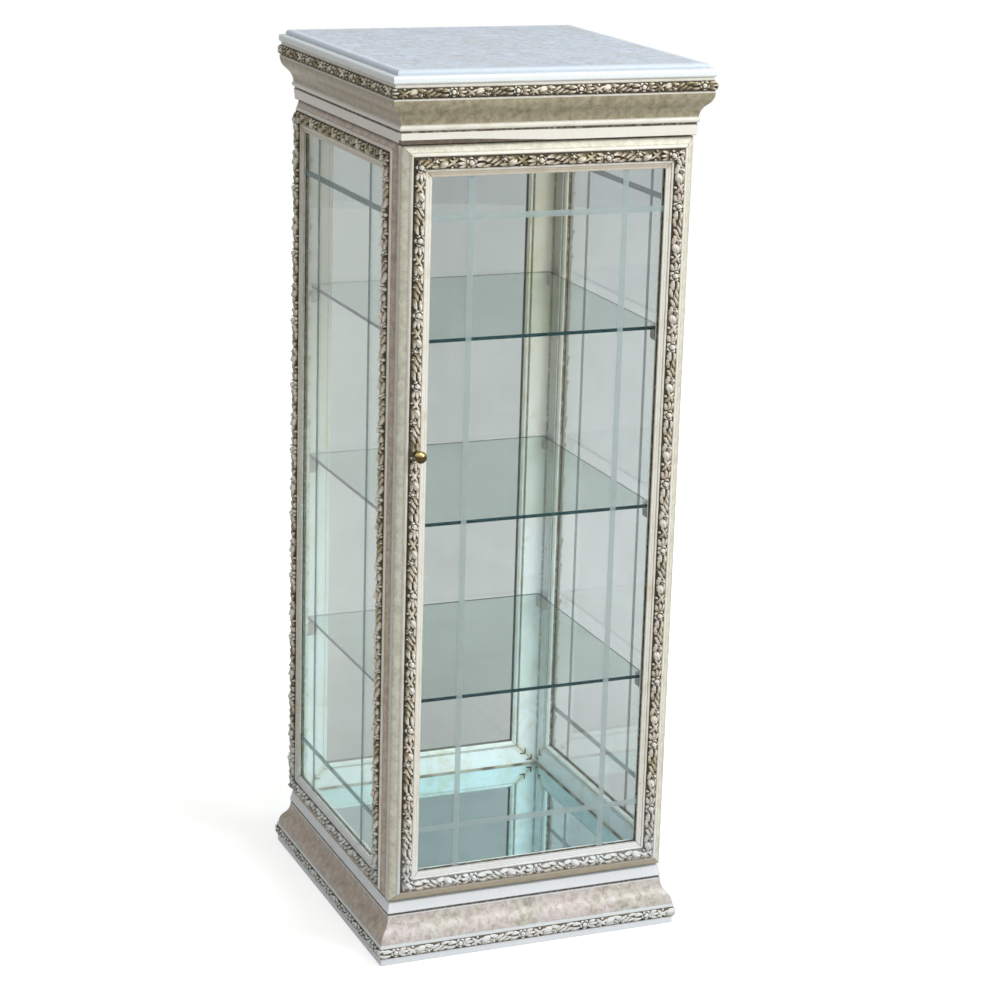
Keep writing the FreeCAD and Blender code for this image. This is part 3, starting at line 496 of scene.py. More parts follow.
rings = {  # carved strips round base and cornice: half sizes of the seat, heights of the strip
    # The cornice's carving is darkened, painted shade under the top, and gilded more; the base's is lightened, painted
    # light from above.
    "base": dict(halfX=230.0, halfY=240.5, low=10.8, high=25.2, crest=4.6, phase=11.0, grimeAndShade=-0.12),
    "cornice": dict(halfX=231.4, halfY=241.9, low=1234.8, high=1248.2, crest=6.0, phase=64.0, grimeAndShade=0.17),
    "tall": 14.5, "shift": 29.0,  # height at which the pattern has its own size, and its shift from side to side
    "dirtAndShade": 0.34, "lean": 40}  # power of the way along: only the very ends lean


def onSeat(way, run, out, level):  # so far along an upright seat, out from the middle and up
    return np.stack([-way[1] * run + way[0] * out, way[0] * run + way[1] * out, level], -1)


def ringFoliage(name):
    # Four strips on upright seats: w runs up, the ends lean out with the rise so that they meet on the mitre
    place = rings[name]
    tall = place["high"] - place["low"]
    strips = []
    for index, way in enumerate(((0, -1), (1, 0), (0, 1), (-1, 0))):
        half, far = (place[k] for k in (("halfY", "halfX") if way[0] else ("halfX", "halfY")))
        t, w, rise = carve(2 * half, place["phase"] + rings["shift"] * index, tall / rings["tall"])
        along = t * half
        height, gilt = rise(along)
        marks = carveMarks(height, gilt, w, place["grimeAndShade"], rings["dirtAndShade"])
        lift = relief(height, w, place["crest"])
        up = (place["low"] + place["high"]) / 2 + w * tall / 2
        top = onSeat(way, along + np.sign(t) * np.abs(t) ** rings["lean"] * lift, far + lift, up)
        foot = onSeat(way, along * np.ones((1, 2)), far - strip["sunk"], up[:, [0, -1]])
        strips.append(closedStrip(top, foot, marks))
    foliagePiece(name, "cabinet", strips)


lowPaint = dict(chill=(260.0, 100.0), foot=(40.0, 30.0), footSides=(-238.0, -230.0), overBase=(60.0, 70.0),
                tan=(115.0, 109.0))  # where the paint near the floor changes, in millimetres
patina = {  # stops from the hollows to the heights, then tints and the film
    "ivory": [(0.02, (0.034, 0.027, 0.017)), (0.16, (0.095, 0.078, 0.046)), (0.32, (0.27, 0.23, 0.155)),
              (0.46, (0.60, 0.555, 0.46)), (0.60, (0.80, 0.775, 0.70)), (0.78, (0.91, 0.90, 0.85))],
    "gilt": [(0.02, (0.030, 0.022, 0.012)), (0.22, (0.11, 0.085, 0.040)), (0.45, (0.36, 0.30, 0.17)),
             (0.80, (0.74, 0.68, 0.48))],
    "rosy": (1.0, 0.86, 0.83), "cold": (0.92, 0.99, 1.08), "tan": (0.80, 0.70, 0.58), "film": (0.62, 0.67, 0.74)}


def foliageFinish():  # ivory on the heights, umber glaze in the hollows, old gilding on some leaves
    material, shader, spot = newFinish("patinatedCarving")
    depth, gold = (node("Attribute", {}, material.node_tree, attribute_name=k)["Fac"] for k in ("carved", "gilded"))
    axes = axesOf(spot)
    dirtAndShade = cloud(spot, 160.0, 4.0, 0.6, 0.5)
    drift = cloud(spot, 14.0, 3.0)
    height = calc("ADD", depth, line(dirtAndShade, 0.34, -0.17))
    height = calc("ADD", height, line(cloud(spot, 30.0, 3.0), 0.5, -0.24))
    chill = step(axes["Z"], *lowPaint["chill"])  # lighter and bluer near the floor: painted cool sky light
    height = line(chill, 0.07, height)
    foot = times(step(axes["Z"], *lowPaint["foot"]), step(axes["Y"], *lowPaint["footSides"]))
    height = line(foot, -0.15, height)  # darker on the sides and back of the base: painted shade
    ivory, gilt = (ramp(height, patina[k]) for k in ("ivory", "gilt"))
    ivory = glaze(step(drift, 0.48, 0.62), 0.35, ivory, tinted(ivory, patina["rosy"]))
    ivory = mixColour(chill, ivory, tinted(ivory, patina["cold"]))
    overBase = step(axes["Z"], *lowPaint["overBase"])
    ivory = glaze(times(chill, overBase), 0.20, ivory, patina["film"])  # a blue-grey glaze over the carving low on the frames, above the base
    tan = times(step(axes["Z"], *lowPaint["tan"]), overBase)  # lower half of the lowest rails' carving, glazed tan: painted shade
    ivory = glaze(tan, 0.8, ivory, tinted(ivory, patina["tan"]))
    gilding = times(times(gold, step(drift, 0.62, 0.40)), less(1.0, times(chill, 0.8)))
    rough = less(0.72, times(step(height, 0.3, 0.8), 0.36))
    lay(shader, mixColour(gilding, ivory, gilt), rough, bump(dirtAndShade, 0.25, 0.4 * mm))
    return material


carvedFinish = foliageFinish()
for name in frames:
    frameFoliage(name)
for name in ("base", "cornice"):
    ringFoliage(name)


# painted mouldings

paints = {
    "ivory": (0.87, 0.865, 0.80), "stain": (0.56, 0.46, 0.27), "umber": (0.085, 0.060, 0.035),
    "tan": (0.42, 0.31, 0.17), "rust": (0.105, 0.075, 0.040), "edge": (0.66, 0.68, 0.68),
    "inside": (0.91, 0.965, 1.0), "insideTop": (0.70, 0.665, 0.565), "insideStain": (0.66, 0.58, 0.34),
    "slip": (0.86, 0.93, 0.93), "slipTop": (0.76, 0.73, 0.61),
    # cold and fresh are bluish whites: white paint with painted cool sky light.
    "cold": (0.875, 0.93, 1.0), "warm": (0.91, 0.90, 0.85), "fresh": (0.86, 0.925, 0.965)}

frameLines = {  # places across the bar in millimetres from the outer edge, with the share of marbling or of dark line
    "span": 43.0,
    "marble": [(0.0, 1), (9.6, 1), (10.1, 0), (42.0, 0)],
    # The dark from 15.5 to 30.6 lies under the carving and the line at 9.6 before the bead: painted shade; the other
    # dark stops are dark quirks.
    "dark": [(8.4, 0.0), (9.6, 0.42), (10.5, 0.0), (14.3, 0.0), (14.9, 0.8), (15.5, 1.0), (30.6, 1.0), (31.0, 0.55),
             (31.5, 0.0), (34.2, 0.0), (34.9, 0.45), (35.7, 0.0), (37.0, 0.0), (38.2, 0.26), (39.4, 0.0),
             (40.6, 0.0), (41.8, 0.40)]}
barZones = dict(  # where a zone of the bar begins and is full, in millimetres
    inner=(34.6, 35.2), underTop=(46.0, 38.0), coolLightBelow=(175.0, 110.0), pastSlope=(9.8, 10.5), bottom=(0.8, 0.2),
    toBead=(15.4, 14.8), outerFace=(-0.4, -1.2), topEdge=(0.6, 0.2), within=(-11.2, -11.7), outerRim=(6.0, 1.0),
    innerRim=(33.2, 34.6), upwards=(300.0, 950.0), slipJoint=(36.5, 35.4), slipGlass=(-5.6, -3.4))


def frameZone(spot, place):  # place on a frame in millimetres: up, rise over the outer-edge plane, height
    axes = axesOf(spot)
    level, facing = (int(np.argmax(np.abs(place[k]))) for k in ("across", "out"))
    across = less(axes[level], float(place["middle"][level]))
    up = less(axes["Z"], place["middle"][2])
    rise = times(less(axes[facing], float(place["middle"][facing])), float(sum(place["out"])))
    zone = useGroup(section, Across=across, Up=up, **{"Half Across": place["wide"] / 2, "Half Up": place["high"] / 2})
    return up, rise, axes["Z"], zone, useGroup(wander, Spot=spot)


def framePaint(name):  # marbled slopes, ivory beads, umber lines between them, plain aged paint inside
    place = frames[name]
    material, shader, spot = newFinish(f"{name}FramePaint")
    up, rise, height, zone, wobble = frameZone(spot, place)
    halfHigh, strength = place["high"] / 2, wobble["Strength"]

    def zoned(value, key):
        return step(value, *barZones[key])

    def lined(stops):
        return ramp(inward, [(u / frameLines["span"], v) for u, v in stops])
    inward = calc("DIVIDE", calc("ADD", zone["Inward"], times(wobble["Shift"], 0.5)), frameLines["span"])
    stone = useGroup(marbled, Spot=spot, Rose=place["rose"], Pale=place["pale"], Tint=place["tint"])
    plain = useGroup(aged, Spot=spot, Paint=paints["ivory"], Stain=paints["stain"], Age=0.45)
    insidePaint = mixColour(zoned(height, "upwards"), paints["inside"], paints["insideTop"])
    inside = useGroup(aged, Spot=spot, Paint=insidePaint, Stain=paints["insideStain"], Age=0.5)
    colour = mixColour(lined(frameLines["marble"]), plain["Color"], stone["Color"])
    underTop = step(up, *(halfHigh - d for d in barZones["underTop"]))
    inner = times(zoned(zone["Inward"], "inner"), underTop)  # the top rail's slope next to the glass, which faces down, glazed tan: painted shade
    colour = glaze(inner, 0.48, colour, paints["tan"])
    chill = times(zoned(height, "coolLightBelow"), zoned(zone["Inward"], "pastSlope"))
    colour = glaze(chill, 0.75, colour, paints["cold"])  # bluer low down: painted cool sky light
    above = less(calc("ADD", up, halfHigh), zone["Inward"])  # 0 on the bottom rail only
    low = times(zoned(above, "bottom"), zoned(zone["Inward"], "toBead"))
    colour = glaze(low, 0.62, colour, paints["tan"])  # tan on the lowest slope and bead, which face down: painted shade
    dark = times(lined((*place["rim"], *frameLines["dark"])), line(strength, 0.45, 0.5))
    dark = times(dark, line(low, -0.6, 1.0))
    colour = mixColour(dark, colour, paints["umber"])
    edge = zoned(rise, "outerFace")  # the outer edge's own face
    colour = mixColour(edge, colour, mixColour(0.45, plain["Color"], paints["edge"]))
    gapShadow = times(edge, step(up, *(halfHigh - d for d in barZones["topEdge"])))
    colour = mixColour(gapShadow, colour, paints["umber"])  # darkened top edge, seen in the gap over the door: painted shadow
    within = zoned(rise, "within")  # back of the bar, inside the cabinet
    rim = calc("MAXIMUM", zoned(zone["Inward"], "outerRim"), zoned(zone["Inward"], "innerRim"))
    stained = glaze(rim, line(strength, 0.5, 0.12), inside["Color"], paints["rust"])
    colour = mixColour(within, colour, stained)
    yellow = times(within, zone["Near Seam"])
    colour = glaze(yellow, line(strength, 0.5, 0.05), colour, paints["insideStain"])
    seam = times(zone["Seam"], line(strength, 0.6, 0.25))
    seam = calc("MAXIMUM", seam, times(within, zone["Seam"]))
    raised = less(times(stone["Height"], 0.3), calc("ADD", dark, seam))
    lay(shader, mixColour(seam, colour, paints["umber"]),
        calc("ADD", times(dark, 0.2), plain["Roughness"]), bump(raised, 0.3, 0.3 * mm))
    dress(material, *(f"{name}_{bar}" for bar in place["bars"]))


def slipPaint(name):  # glazing slips: yellowed inside paint, dark where they meet bar and glass
    material, shader, spot = newFinish(f"{name}SlipPaint")
    _, rise, height, zone, wobble = frameZone(spot, frames[name])
    slip = mixColour(step(height, *barZones["upwards"]), paints["slip"], paints["slipTop"])
    inside = useGroup(aged, Spot=spot, Paint=slip, Stain=paints["insideStain"], Age=0.6)
    joint = calc("MAXIMUM", step(zone["Inward"], *barZones["slipJoint"]), step(rise, *barZones["slipGlass"]))
    dark = times(joint, line(wobble["Strength"], 0.42, 0.56))
    dark = calc("MAXIMUM", dark, times(zone["Seam"], 0.8))
    lay(shader, mixColour(dark, inside["Color"], paints["rust"]), inside["Roughness"],
        bump(inside["Height"], 0.2, 0.3 * mm))
    dress(material, f"{name}_glazing_slips")


for name in frames:
    framePaint(name)
    slipPaint(name)


def board(low, high, paint, dark, **more):  # values for a board with no marbling
    return dict(low=low, high=high, rose=0.5, paint=paint, tint=(1, 1, 1), marble=[(low, 0), (high, 0)], dark=dark,
                **more)


bands = {  # level finishes: stops are heights in millimetres with the share of marbling or of dark line
    # The dark stops behind the carved strips, 10.2 to 25.4 here and 1234.6 to 1248.6 on the cornice, are painted shade
    # in the gaps of the carving; the base's bluish tint is painted cool sky light.
    "base": dict(low=10.0, high=72.0, rose=0.50, paint="fresh", tint=(0.96, 0.965, 1.04),
                 marble=[(30.4, 0), (31.0, 1), (66.6, 1), (67.4, 0)],
                 dark=[(10.2, 0.9), (10.8, 0.9), (25.4, 0.9), (26.3, 0.15), (27.0, 0), (29.4, 0), (30.2, 0.25),
                       (31.2, 0), (66.8, 0), (68.6, 0.2), (69.2, 1.0), (71.9, 1.0)]),
    # The cornice's tint, far darker and more olive than the base's, is mostly painted shade under the overhanging top.
    "cornice": dict(low=1187.0, high=1253.0, rose=0.34, paint="ivory", tint=(0.55, 0.52, 0.41),
                    marble=[(1197.4, 0), (1198.2, 1), (1231.4, 1), (1232.2, 0)],
                    dark=[(1187.1, 1.0), (1189.6, 1.0), (1190.6, 0.15), (1191.6, 0.0), (1195.6, 0.0), (1196.9, 0.35),
                          (1198.0, 0.0), (1231.0, 0.0), (1233.6, 0.3), (1234.6, 0.95), (1248.6, 0.95), (1249.4, 0.1),
                          (1252.0, 0.0), (1252.8, 0.35)]),
    "floor_board": board(72.0, 87.0, "cold", [(72.0, 0.9), (72.8, 0.25), (73.6, 0.0), (86.0, 0.0), (86.8, 0.05)]),
    "ceiling_board": board(1172.0, 1187.0, "warm", [(1172.1, 1.0), (1172.6, 0.9), (1173.0, 0.0), (1186.0, 0.0),
                                                    (1186.8, 0.7)], wedge=5.0),
    "plinth_board": board(0.0, 10.0, "cold", [(0.0, 0.25), (1.6, 0.0), (9.0, 0.0), (9.8, 0.2)]),
    "cornice_slab": board(1253.0, 1264.0, "fresh", [(1253.0, 0.3), (1254.0, 0.0), (1263.2, 0.0), (1263.9, 0.25)])}
bandLooks = dict(sideShade=(0.78, 0.70, 0.61), wedgeAlong=(30.0, -150.0), wedgeFront=(-214.0, -218.0))


def bandPaint(name, place, *nodes):  # marbled or plain by height, with dark lines that wander and break
    material, shader, spot = newFinish(f"{name}Paint")
    axes = axesOf(spot)
    height, broken = axes["Z"], (0.4, 0.58)
    if "wedge" in place:  # the dark line under the board, painted shadow of the gap over the door, is wider towards the knob side, and hardly broken
        lean = times(step(axes["X"], *bandLooks["wedgeAlong"]), step(axes["Y"], *bandLooks["wedgeFront"]))
        height, broken = less(height, times(lean, place["wedge"])), (0.08, 0.90)
    wobble = useGroup(wander, Spot=spot)
    low, tall = place["low"], place["high"] - place["low"]
    level = calc("DIVIDE", less(calc("ADD", height, times(wobble["Shift"], 0.4)), low), tall)
    marble, dark = (ramp(level, [((z - low) / tall, v) for z, v in place[k]]) for k in ("marble", "dark"))
    stone = useGroup(marbled, Spot=spot, Rose=place["rose"], Tint=place["tint"])
    plain = useGroup(aged, Spot=spot, Paint=paints[place["paint"]], Stain=paints["stain"],
                     Age=0.3 if place["paint"] == "ivory" else 0.05)
    colour = mixColour(marble, plain["Color"], stone["Color"])
    dark = times(dark, line(wobble["Strength"], *broken))
    raised = less(times(stone["Height"], 0.3), dark)
    lay(shader, mixColour(dark, colour, paints["umber"]),
        calc("ADD", times(dark, 0.2), plain["Roughness"]), bump(raised, 0.3, 0.3 * mm))
    dress(material, *nodes)


for name, place in bands.items():
    if name not in ("base", "cornice"):
        bandPaint(name, place, name)
        continue
    # The side mouldings take sideShade on their tint: painted shade of the sides.
    shadedSideTint = tuple(a * b for a, b in zip(bandLooks["sideShade"], place["tint"]))
    bandPaint(name, place, f"{name}_moulding_front", f"{name}_moulding_back")
    bandPaint(f"{name}Side", dict(place, tint=shadedSideTint), f"{name}_moulding_left", f"{name}_moulding_right")

topBoard = {  # half sizes and the width of the rounded edge in millimetres, then the paints
    # The blue of these paints stands partly for blue sky light on the top: painted light.
    "X": 226.0, "Y": 236.5, "edge": (9.0, 10.5), "paint": (0.585, 0.67, 0.765), "stain": (0.46, 0.51, 0.55),
    "stone": [(0.32, (0.265, 0.315, 0.375)), (0.44, (0.395, 0.465, 0.555)), (0.54, (0.50, 0.58, 0.68)),
              (0.66, (0.585, 0.665, 0.77))],
    "cloud": (0.42, 0.44, 0.45), "fleck": (0.22, 0.24, 0.25)}


def topPaint():  # pale grey marbling on the flat, plain paint on the rounded edge
    material, shader, spot = newFinish("topMarbling")
    axes = axesOf(spot)
    aside, ahead = (less(topBoard[way], calc("ABSOLUTE", axes[way])) for way in ("X", "Y"))
    broad = cloud(spot, 16.0, 5.0, 0.6, 0.8)
    patch = cloud(spot, 60.0, 5.0, 0.65, 1.5)
    fleck = cloud(spot, 190.0, 3.0, 0.6, 0.5)
    stone = ramp(patch, topBoard["stone"])
    stone = glaze(step(broad, 0.45, 0.66), 0.55, stone, topBoard["cloud"])
    spots = times(step(fleck, 0.56, 0.68), step(patch, 0.56, 0.42))
    stone = glaze(spots, 0.7, stone, topBoard["fleck"])
    plain = useGroup(aged, Spot=spot, Paint=topBoard["paint"], Stain=topBoard["stain"], Age=0.25)
    flat = step(calc("MINIMUM", aside, ahead), *topBoard["edge"])
    lay(shader, mixColour(flat, plain["Color"], stone), line(patch, 0.25, 0.28), bump(fleck, 0.15, 0.3 * mm))
    dress(material, "top_board")


topPaint()
print("painted mouldings done")


# glass, cut lines and mirror

glass = {
    # The left, right and back panes are tinted ever darker greys: painted shade of a shaded wall seen through them.
    "pane": {"door": (0.91, 0.953, 0.965), "left": (0.67, 0.735, 0.715), "right": (0.51, 0.54, 0.53),
             "back": (0.42, 0.445, 0.43)},
    "bend": {"door": 1.25, "left": 1.3, "right": 1.5, "back": 1.5},  # lower on the shown panes, which reflect little
    "cut": {"door": (0.45, 0.565, 0.575), "left": (0.20, 0.335, 0.345), "right": (0.30, 0.42, 0.43)},
    "paneShadow": (0.97, 0.99, 0.98), "shelf": (0.76, 0.85, 0.81), "shelfBend": 1.5, "shelfShadow": (0.90, 0.96, 0.94),
    "mirror": (0.68, 0.88, 0.91), "rim": (0.002, 0.028, 0.032), "rimLight": (0.02, 0.10, 0.11)}
shelves = ("upper_shelf", "middle_shelf", "lower_shelf")


def clearGlass(shader, bend, shadow):  # lamps shine through the glass, and it casts only a tinted shadow
    tree = shader.id_data
    shader.inputs["Transmission Weight"].default_value = 1.0
    shader.inputs["IOR"].default_value = bend
    clear = node("BsdfTransparent", {"Color": shadow}, tree)[0]
    shaded = node("LightPath", {}, tree)["Is Shadow Ray"]
    both = node("MixShader", {0: shaded, 1: shader.outputs[0], 2: clear})[0]
    feed(next(n for n in tree.nodes if n.type == "OUTPUT_MATERIAL").inputs["Surface"], both)


def paneGlass(name):  # faintly green sheet with a film of dust in soft patches
    material, shader, spot = newFinish(f"{name}PaneGlass")
    dust = cloud(spot, 9.0, 5.0, 0.6, 0.4)
    fine = cloud(spot, 120.0, 3.0)
    tint = glass["pane"][name]
    film = step(line(fine, 0.25, dust), 0.45, 0.85)
    lay(shader, mixColour(film, tint, dimmed(tint, 0.95)), times(film, 0.03))
    clearGlass(shader, glass["bend"][name], glass["paneShadow"])
    dress(material, f"{name}_pane")


def shelfGlass():  # clear sheet with dust in soft patches
    material, shader, spot = newFinish("shelfGlass")
    dust = cloud(spot, 14.0, 4.0)
    tint = glass["shelf"]
    lay(shader, mixColour(step(dust, 0.40, 0.75), tint, dimmed(tint, 0.93)), times(dust, 0.02))
    clearGlass(shader, glass["shelfBend"], glass["shelfShadow"])
    dress(material, *shelves)


shelfRim = dict(halfX=191.0, front=-190.0, back=207.5, proud=0.14, sunk=0.10, behind=0.98, turns=7)


def shelfEdge(name):
    # Sawn edge: a shallow arc out from the glass, carried round the four sides and closed behind
    low, high = (corner[2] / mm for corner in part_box(name))
    a = np.linspace(-1, 1, shelfRim["turns"])
    d = np.concatenate([shelfRim["proud"] * (1 - a * a), [-shelfRim["sunk"]] * 2])
    z = np.concatenate([a, [shelfRim["behind"], -shelfRim["behind"]]]) * (high - low) / 2 + (low + high) / 2
    return makePiece(f"{name}Edge", *carriedRound(shelfRim, d, z), name, "shelf_glass", smooth=False)


def rimFinish():  # sea-green cut glass with lighter saw streaks
    material, shader, spot = newFinish("sawnEdge")
    streak = cloud(stretched(spot, (1, 1, 6)), 120.0, 3.0)
    tones = [(0.35, dimmed(glass["rim"], 0.6)), (0.55, glass["rim"]), (0.75, glass["rimLight"])]
    lay(shader, ramp(streak, tones), line(streak, 0.2, 0.35))
    shader.inputs["Specular IOR Level"].default_value = 0.0
    return material


sideCuts = dict(across=(-109.0, 109.0), up=(-434.5, 442.5))
cutLines = {  # places of the ground lines from the middle of the frame, their half width and heights
    "door": dict(across=(-113.0, 113.0), up=(-435.0, 442.0)), "left": sideCuts, "right": sideCuts,
    "half": 4.3, "roof": 0.24, "skin": 0.05, "glassFace": 3.0, "clear": 0.02, "edge": 36.0}


def groundLines(name):
    # A lattice on the pane's outer face: height is the higher of two shallow roofs, one along each line
    place, half = frames[name], cutLines["half"]
    slopes = np.array([-1, -0.5, 0, 0.5, 1]) * half
    spots, roofs, cut = [], [], []
    for way, size in (("across", "wide"), ("up", "high")):
        marks, edge = np.array(cutLines[name][way]), place[size] / 2 - cutLines["edge"]
        spot = np.unique(np.concatenate([[-edge, edge]] + [c + slopes for c in marks]))
        spots.append(spot)
        roofs.append(np.clip(1 - np.abs(spot[:, None] - marks).min(1) / half, 0, 1))
        cut.append(np.abs((spot[1:] + spot[:-1])[:, None] / 2 - marks).min(1) < half)
    a, b = np.meshgrid(*spots, indexing="ij")
    seat = cutLines["glassFace"] + cutLines["clear"] + cutLines["skin"]
    rise = seat + cutLines["roof"] * np.maximum(roofs[0][:, None], roofs[1][None, :])
    i, j = np.nonzero(cut[0][:, None] | cut[1][None, :])
    wide = len(spots[1])
    quads = np.stack([i * wide + j, (i + 1) * wide + j, (i + 1) * wide + j + 1, i * wide + j + 1], -1)
    points = onFrame(place, a.ravel(), b.ravel(), rise.ravel())
    used, flat = np.unique(quads, return_inverse=True)
    points, quads = points[used], flat.reshape(-1, 4)
    normal = np.cross(points[quads[0, 1]] - points[quads[0, 0]], points[quads[0, 2]] - points[quads[0, 0]])
    if normal @ np.array(place["out"], float) < 0:
        quads = quads[:, ::-1]
    piece = makePiece(f"{name}GroundLines", points, [quads], place["body"], "pane_glass", smooth=False)
    wall = piece.modifiers.new("skin", "SOLIDIFY")
    wall.thickness, wall.offset = cutLines["skin"] * mm, -1.0
    return piece


def groundFinish(name):  # matt blue-green veil with the streaks of the grinding wheel
    material, shader, spot = newFinish(f"{name}GroundGlass")
    tone = glass["cut"][name]
    streak = cloud(spot, 60.0, 3.0)
    lay(shader, mixColour(streak, dimmed(tone, 0.92), tone), line(streak, 0.2, 0.35))
    feed(shader.inputs["Alpha"], line(streak, 0.10, 0.42))
    return material


def mirrorFinish():  # silvered glass, slightly green, clouded in places
    material, shader, spot = newFinish("floorMirror")
    haze = cloud(spot, 12.0, 5.0, 0.6)
    fine = cloud(spot, 300.0, 2.0)
    film = step(line(fine, 0.2, haze), 0.5, 0.85)
    tint = glass["mirror"]
    lay(shader, mixColour(film, tint, dimmed(tint, 0.86)), line(film, 0.05, 0.02))
    shader.inputs["Metallic"].default_value = 1.0
    dress(material, "floor_mirror")


for name in frames:
    paneGlass(name)
shelfGlass()
mirrorFinish()
edgeFinish = rimFinish()
for name in shelves:
    shelfEdge(name).data.materials.append(edgeFinish)
for name in ("door", "left", "right"):
    groundLines(name).data.materials.append(groundFinish(name))
print("glass done")


# small things inside

bead = dict(halfX=197.3, front=-205.8, back=207.8, low=90.0, size=2.4, turns=7)


def mirrorBead():
    # Quarter round carried round the mirror: in from the wall as the cosine, up as the sine, mitred at the corners
    a = np.linspace(0, np.pi / 2, bead["turns"])
    d = np.concatenate([bead["size"] * np.cos(a), [0.0]])
    z = np.concatenate([bead["size"] * np.sin(a), [0.0]]) + bead["low"]
    return makePiece("mirrorBead", *carriedRound(bead, -d, z), "cabinet", "marbled_paint", smooth=False)


nails = dict(places=(9.0, 20.0), arm=9.5, thick=2.3, sunk=-11.9, face=-12.0, proud=0.12)


def mitreNails(name, body, sides):
    # Angle of two arms across each mitre on the frame's inner face: six outline points, front and back
    arm, thick = nails["arm"], nails["thick"]
    shape = np.array([(0, 0), (arm, 0), (arm, thick), (thick, thick), (thick, arm), (0, arm)])
    corners = [(a, b, u) for a in (-1, 1) for b in (-1, 1) for u in nails["places"]]
    shells = []
    for place in (frames[k] for k in sides):
        for signA, signB, u in corners:
            a = signA * (place["wide"] / 2 - u - shape[:, 0])
            b = signB * (place["high"] / 2 - u - shape[:, 1])
            rows = [onFrame(place, a, b, np.full(6, rise)) for rise in (nails["sunk"], nails["face"] - nails["proud"])]
            shells.append((np.concatenate(rows), tubeFaces(2, 6)))
    return makePiece(name, *joined(shells), body, "steel", smooth=False)


def simpleFinish(name, colour, second, scale, rough, metal=0.0, grain=0.15):
    # two tones in clouds, with matching gloss and a fine bump
    material, shader, spot = newFinish(name)
    patch = cloud(spot, scale, 5.0, 0.6, 0.4)
    fine = cloud(spot, scale * 9.0, 3.0)
    lay(shader, mixColour(step(patch, 0.38, 0.68), colour, second),
        line(patch, 0.3, rough - 0.12), bump(fine, grain, 0.2 * mm))
    shader.inputs["Metallic"].default_value = metal
    return material


softwood = [(0.35, (0.30, 0.19, 0.10)), (0.65, (0.52, 0.37, 0.22))]


def woodFinish():  # pale softwood: rings stretched along the grain
    material, shader, spot = newFinish("bareSoftwood")
    grain = cloud(stretched(spot, (1.0, 1.0, 0.08)), 160.0, 4.0, 0.6, 1.5)
    lay(shader, ramp(grain, softwood), line(grain, 0.2, 0.55), bump(grain, 0.2, 0.4 * mm))
    dress(material, "corner_blocks")


brass = dict(bright=(0.58, 0.44, 0.18), tarnishAndShade=(0.040, 0.026, 0.009),
             under=(759.5, 755.5), neck=(-251.0, -247.0))  # where the darkening begins and is full, in millimetres: painted shade underneath, tarnish at the neck


def knobFinish():  # lacquered brass, bright above, darkened underneath by painted shade and reflection, tarnished towards the neck
    material, shader, spot = newFinish("polishedBrass")
    axes = axesOf(spot)
    rub = cloud(spot, 420.0, 3.0)
    # Darker below the middle: painted shade and a painted reflection of a dark ground; towards the neck: tarnish.
    under = step(line(rub, 3.0, axes["Z"]), *brass["under"])
    tarnishAndShade = calc("MAXIMUM", step(axes["Y"], *brass["neck"]), times(under, 0.96))
    lay(shader, mixColour(tarnishAndShade, brass["bright"], brass["tarnishAndShade"]), line(tarnishAndShade, 0.2, 0.14))
    shader.inputs["Metallic"].default_value = 1.0
    dress(material, "knob")


felt = dict(half=197.0, front=-206.2, back=-202.5, low=1161.5, high=1171.9, rows=60,
            waves=((0.35, 9.0), (0.2, 3.7)))  # height and length of each


def dustStrip():
    # Flat strip hung under the ceiling: a box section carried along x, its lower edge gently waved by two sines
    x = np.linspace(-1, 1, felt["rows"]) * felt["half"]
    drop = np.full(x.shape, felt["low"])
    for tall, length in felt["waves"]:
        drop = drop + tall * np.sin(x / length)
    y = np.array([felt["front"], felt["back"], felt["back"], felt["front"]])
    z = np.where(np.array([1, 1, 0, 0]) > 0, felt["high"], drop[:, None])
    points = np.stack([np.broadcast_to(x[:, None], z.shape), np.broadcast_to(y, z.shape), z], -1).reshape(-1, 3)
    return makePiece("dustStrip", *joined([(points, tubeFaces(len(x), 4))]), "cabinet", "taupe_plastic", smooth=False)


feltFinish = simpleFinish("darkFelt", (0.060, 0.058, 0.050), (0.035, 0.030, 0.024), 160.0, 0.9, grain=0.5)
dustStrip().data.materials.append(feltFinish)
beadFinish = simpleFinish("beadPaint", (0.44, 0.42, 0.34), (0.11, 0.09, 0.06), 30.0, 0.55)
mirrorBead().data.materials.append(beadFinish)
nailFinish = simpleFinish("rustedSteel", (0.045, 0.038, 0.030), (0.10, 0.06, 0.03), 300.0, 0.6)
mitreNails("cabinetNails", "cabinet", ("back", "left", "right")).data.materials.append(nailFinish)
mitreNails("doorNails", "door", ("door",)).data.materials.append(nailFinish)
knobFinish()
woodFinish()
dress(simpleFinish("agedBrass", (0.52, 0.38, 0.15), (0.25, 0.17, 0.07), 180.0, 0.42, 1.0),
      "hinge_frame_leaves", "hinge_door_leaves", "hinge_pins")
dress(simpleFinish("dullSteel", (0.46, 0.46, 0.45), (0.30, 0.29, 0.27), 260.0, 0.38, 1.0),
      "frame_screws", "door_screws", "knob_screw", "strike_plate", "catch_magnet")
dress(simpleFinish("ivoryPlastic", (0.74, 0.72, 0.64), (0.66, 0.62, 0.50), 90.0, 0.45), "catch_housing")
dress(simpleFinish("taupePlastic", (0.26, 0.24, 0.20), (0.34, 0.32, 0.27), 120.0, 0.40), "shelf_supports")
print("small things done")


# stage, light and camera

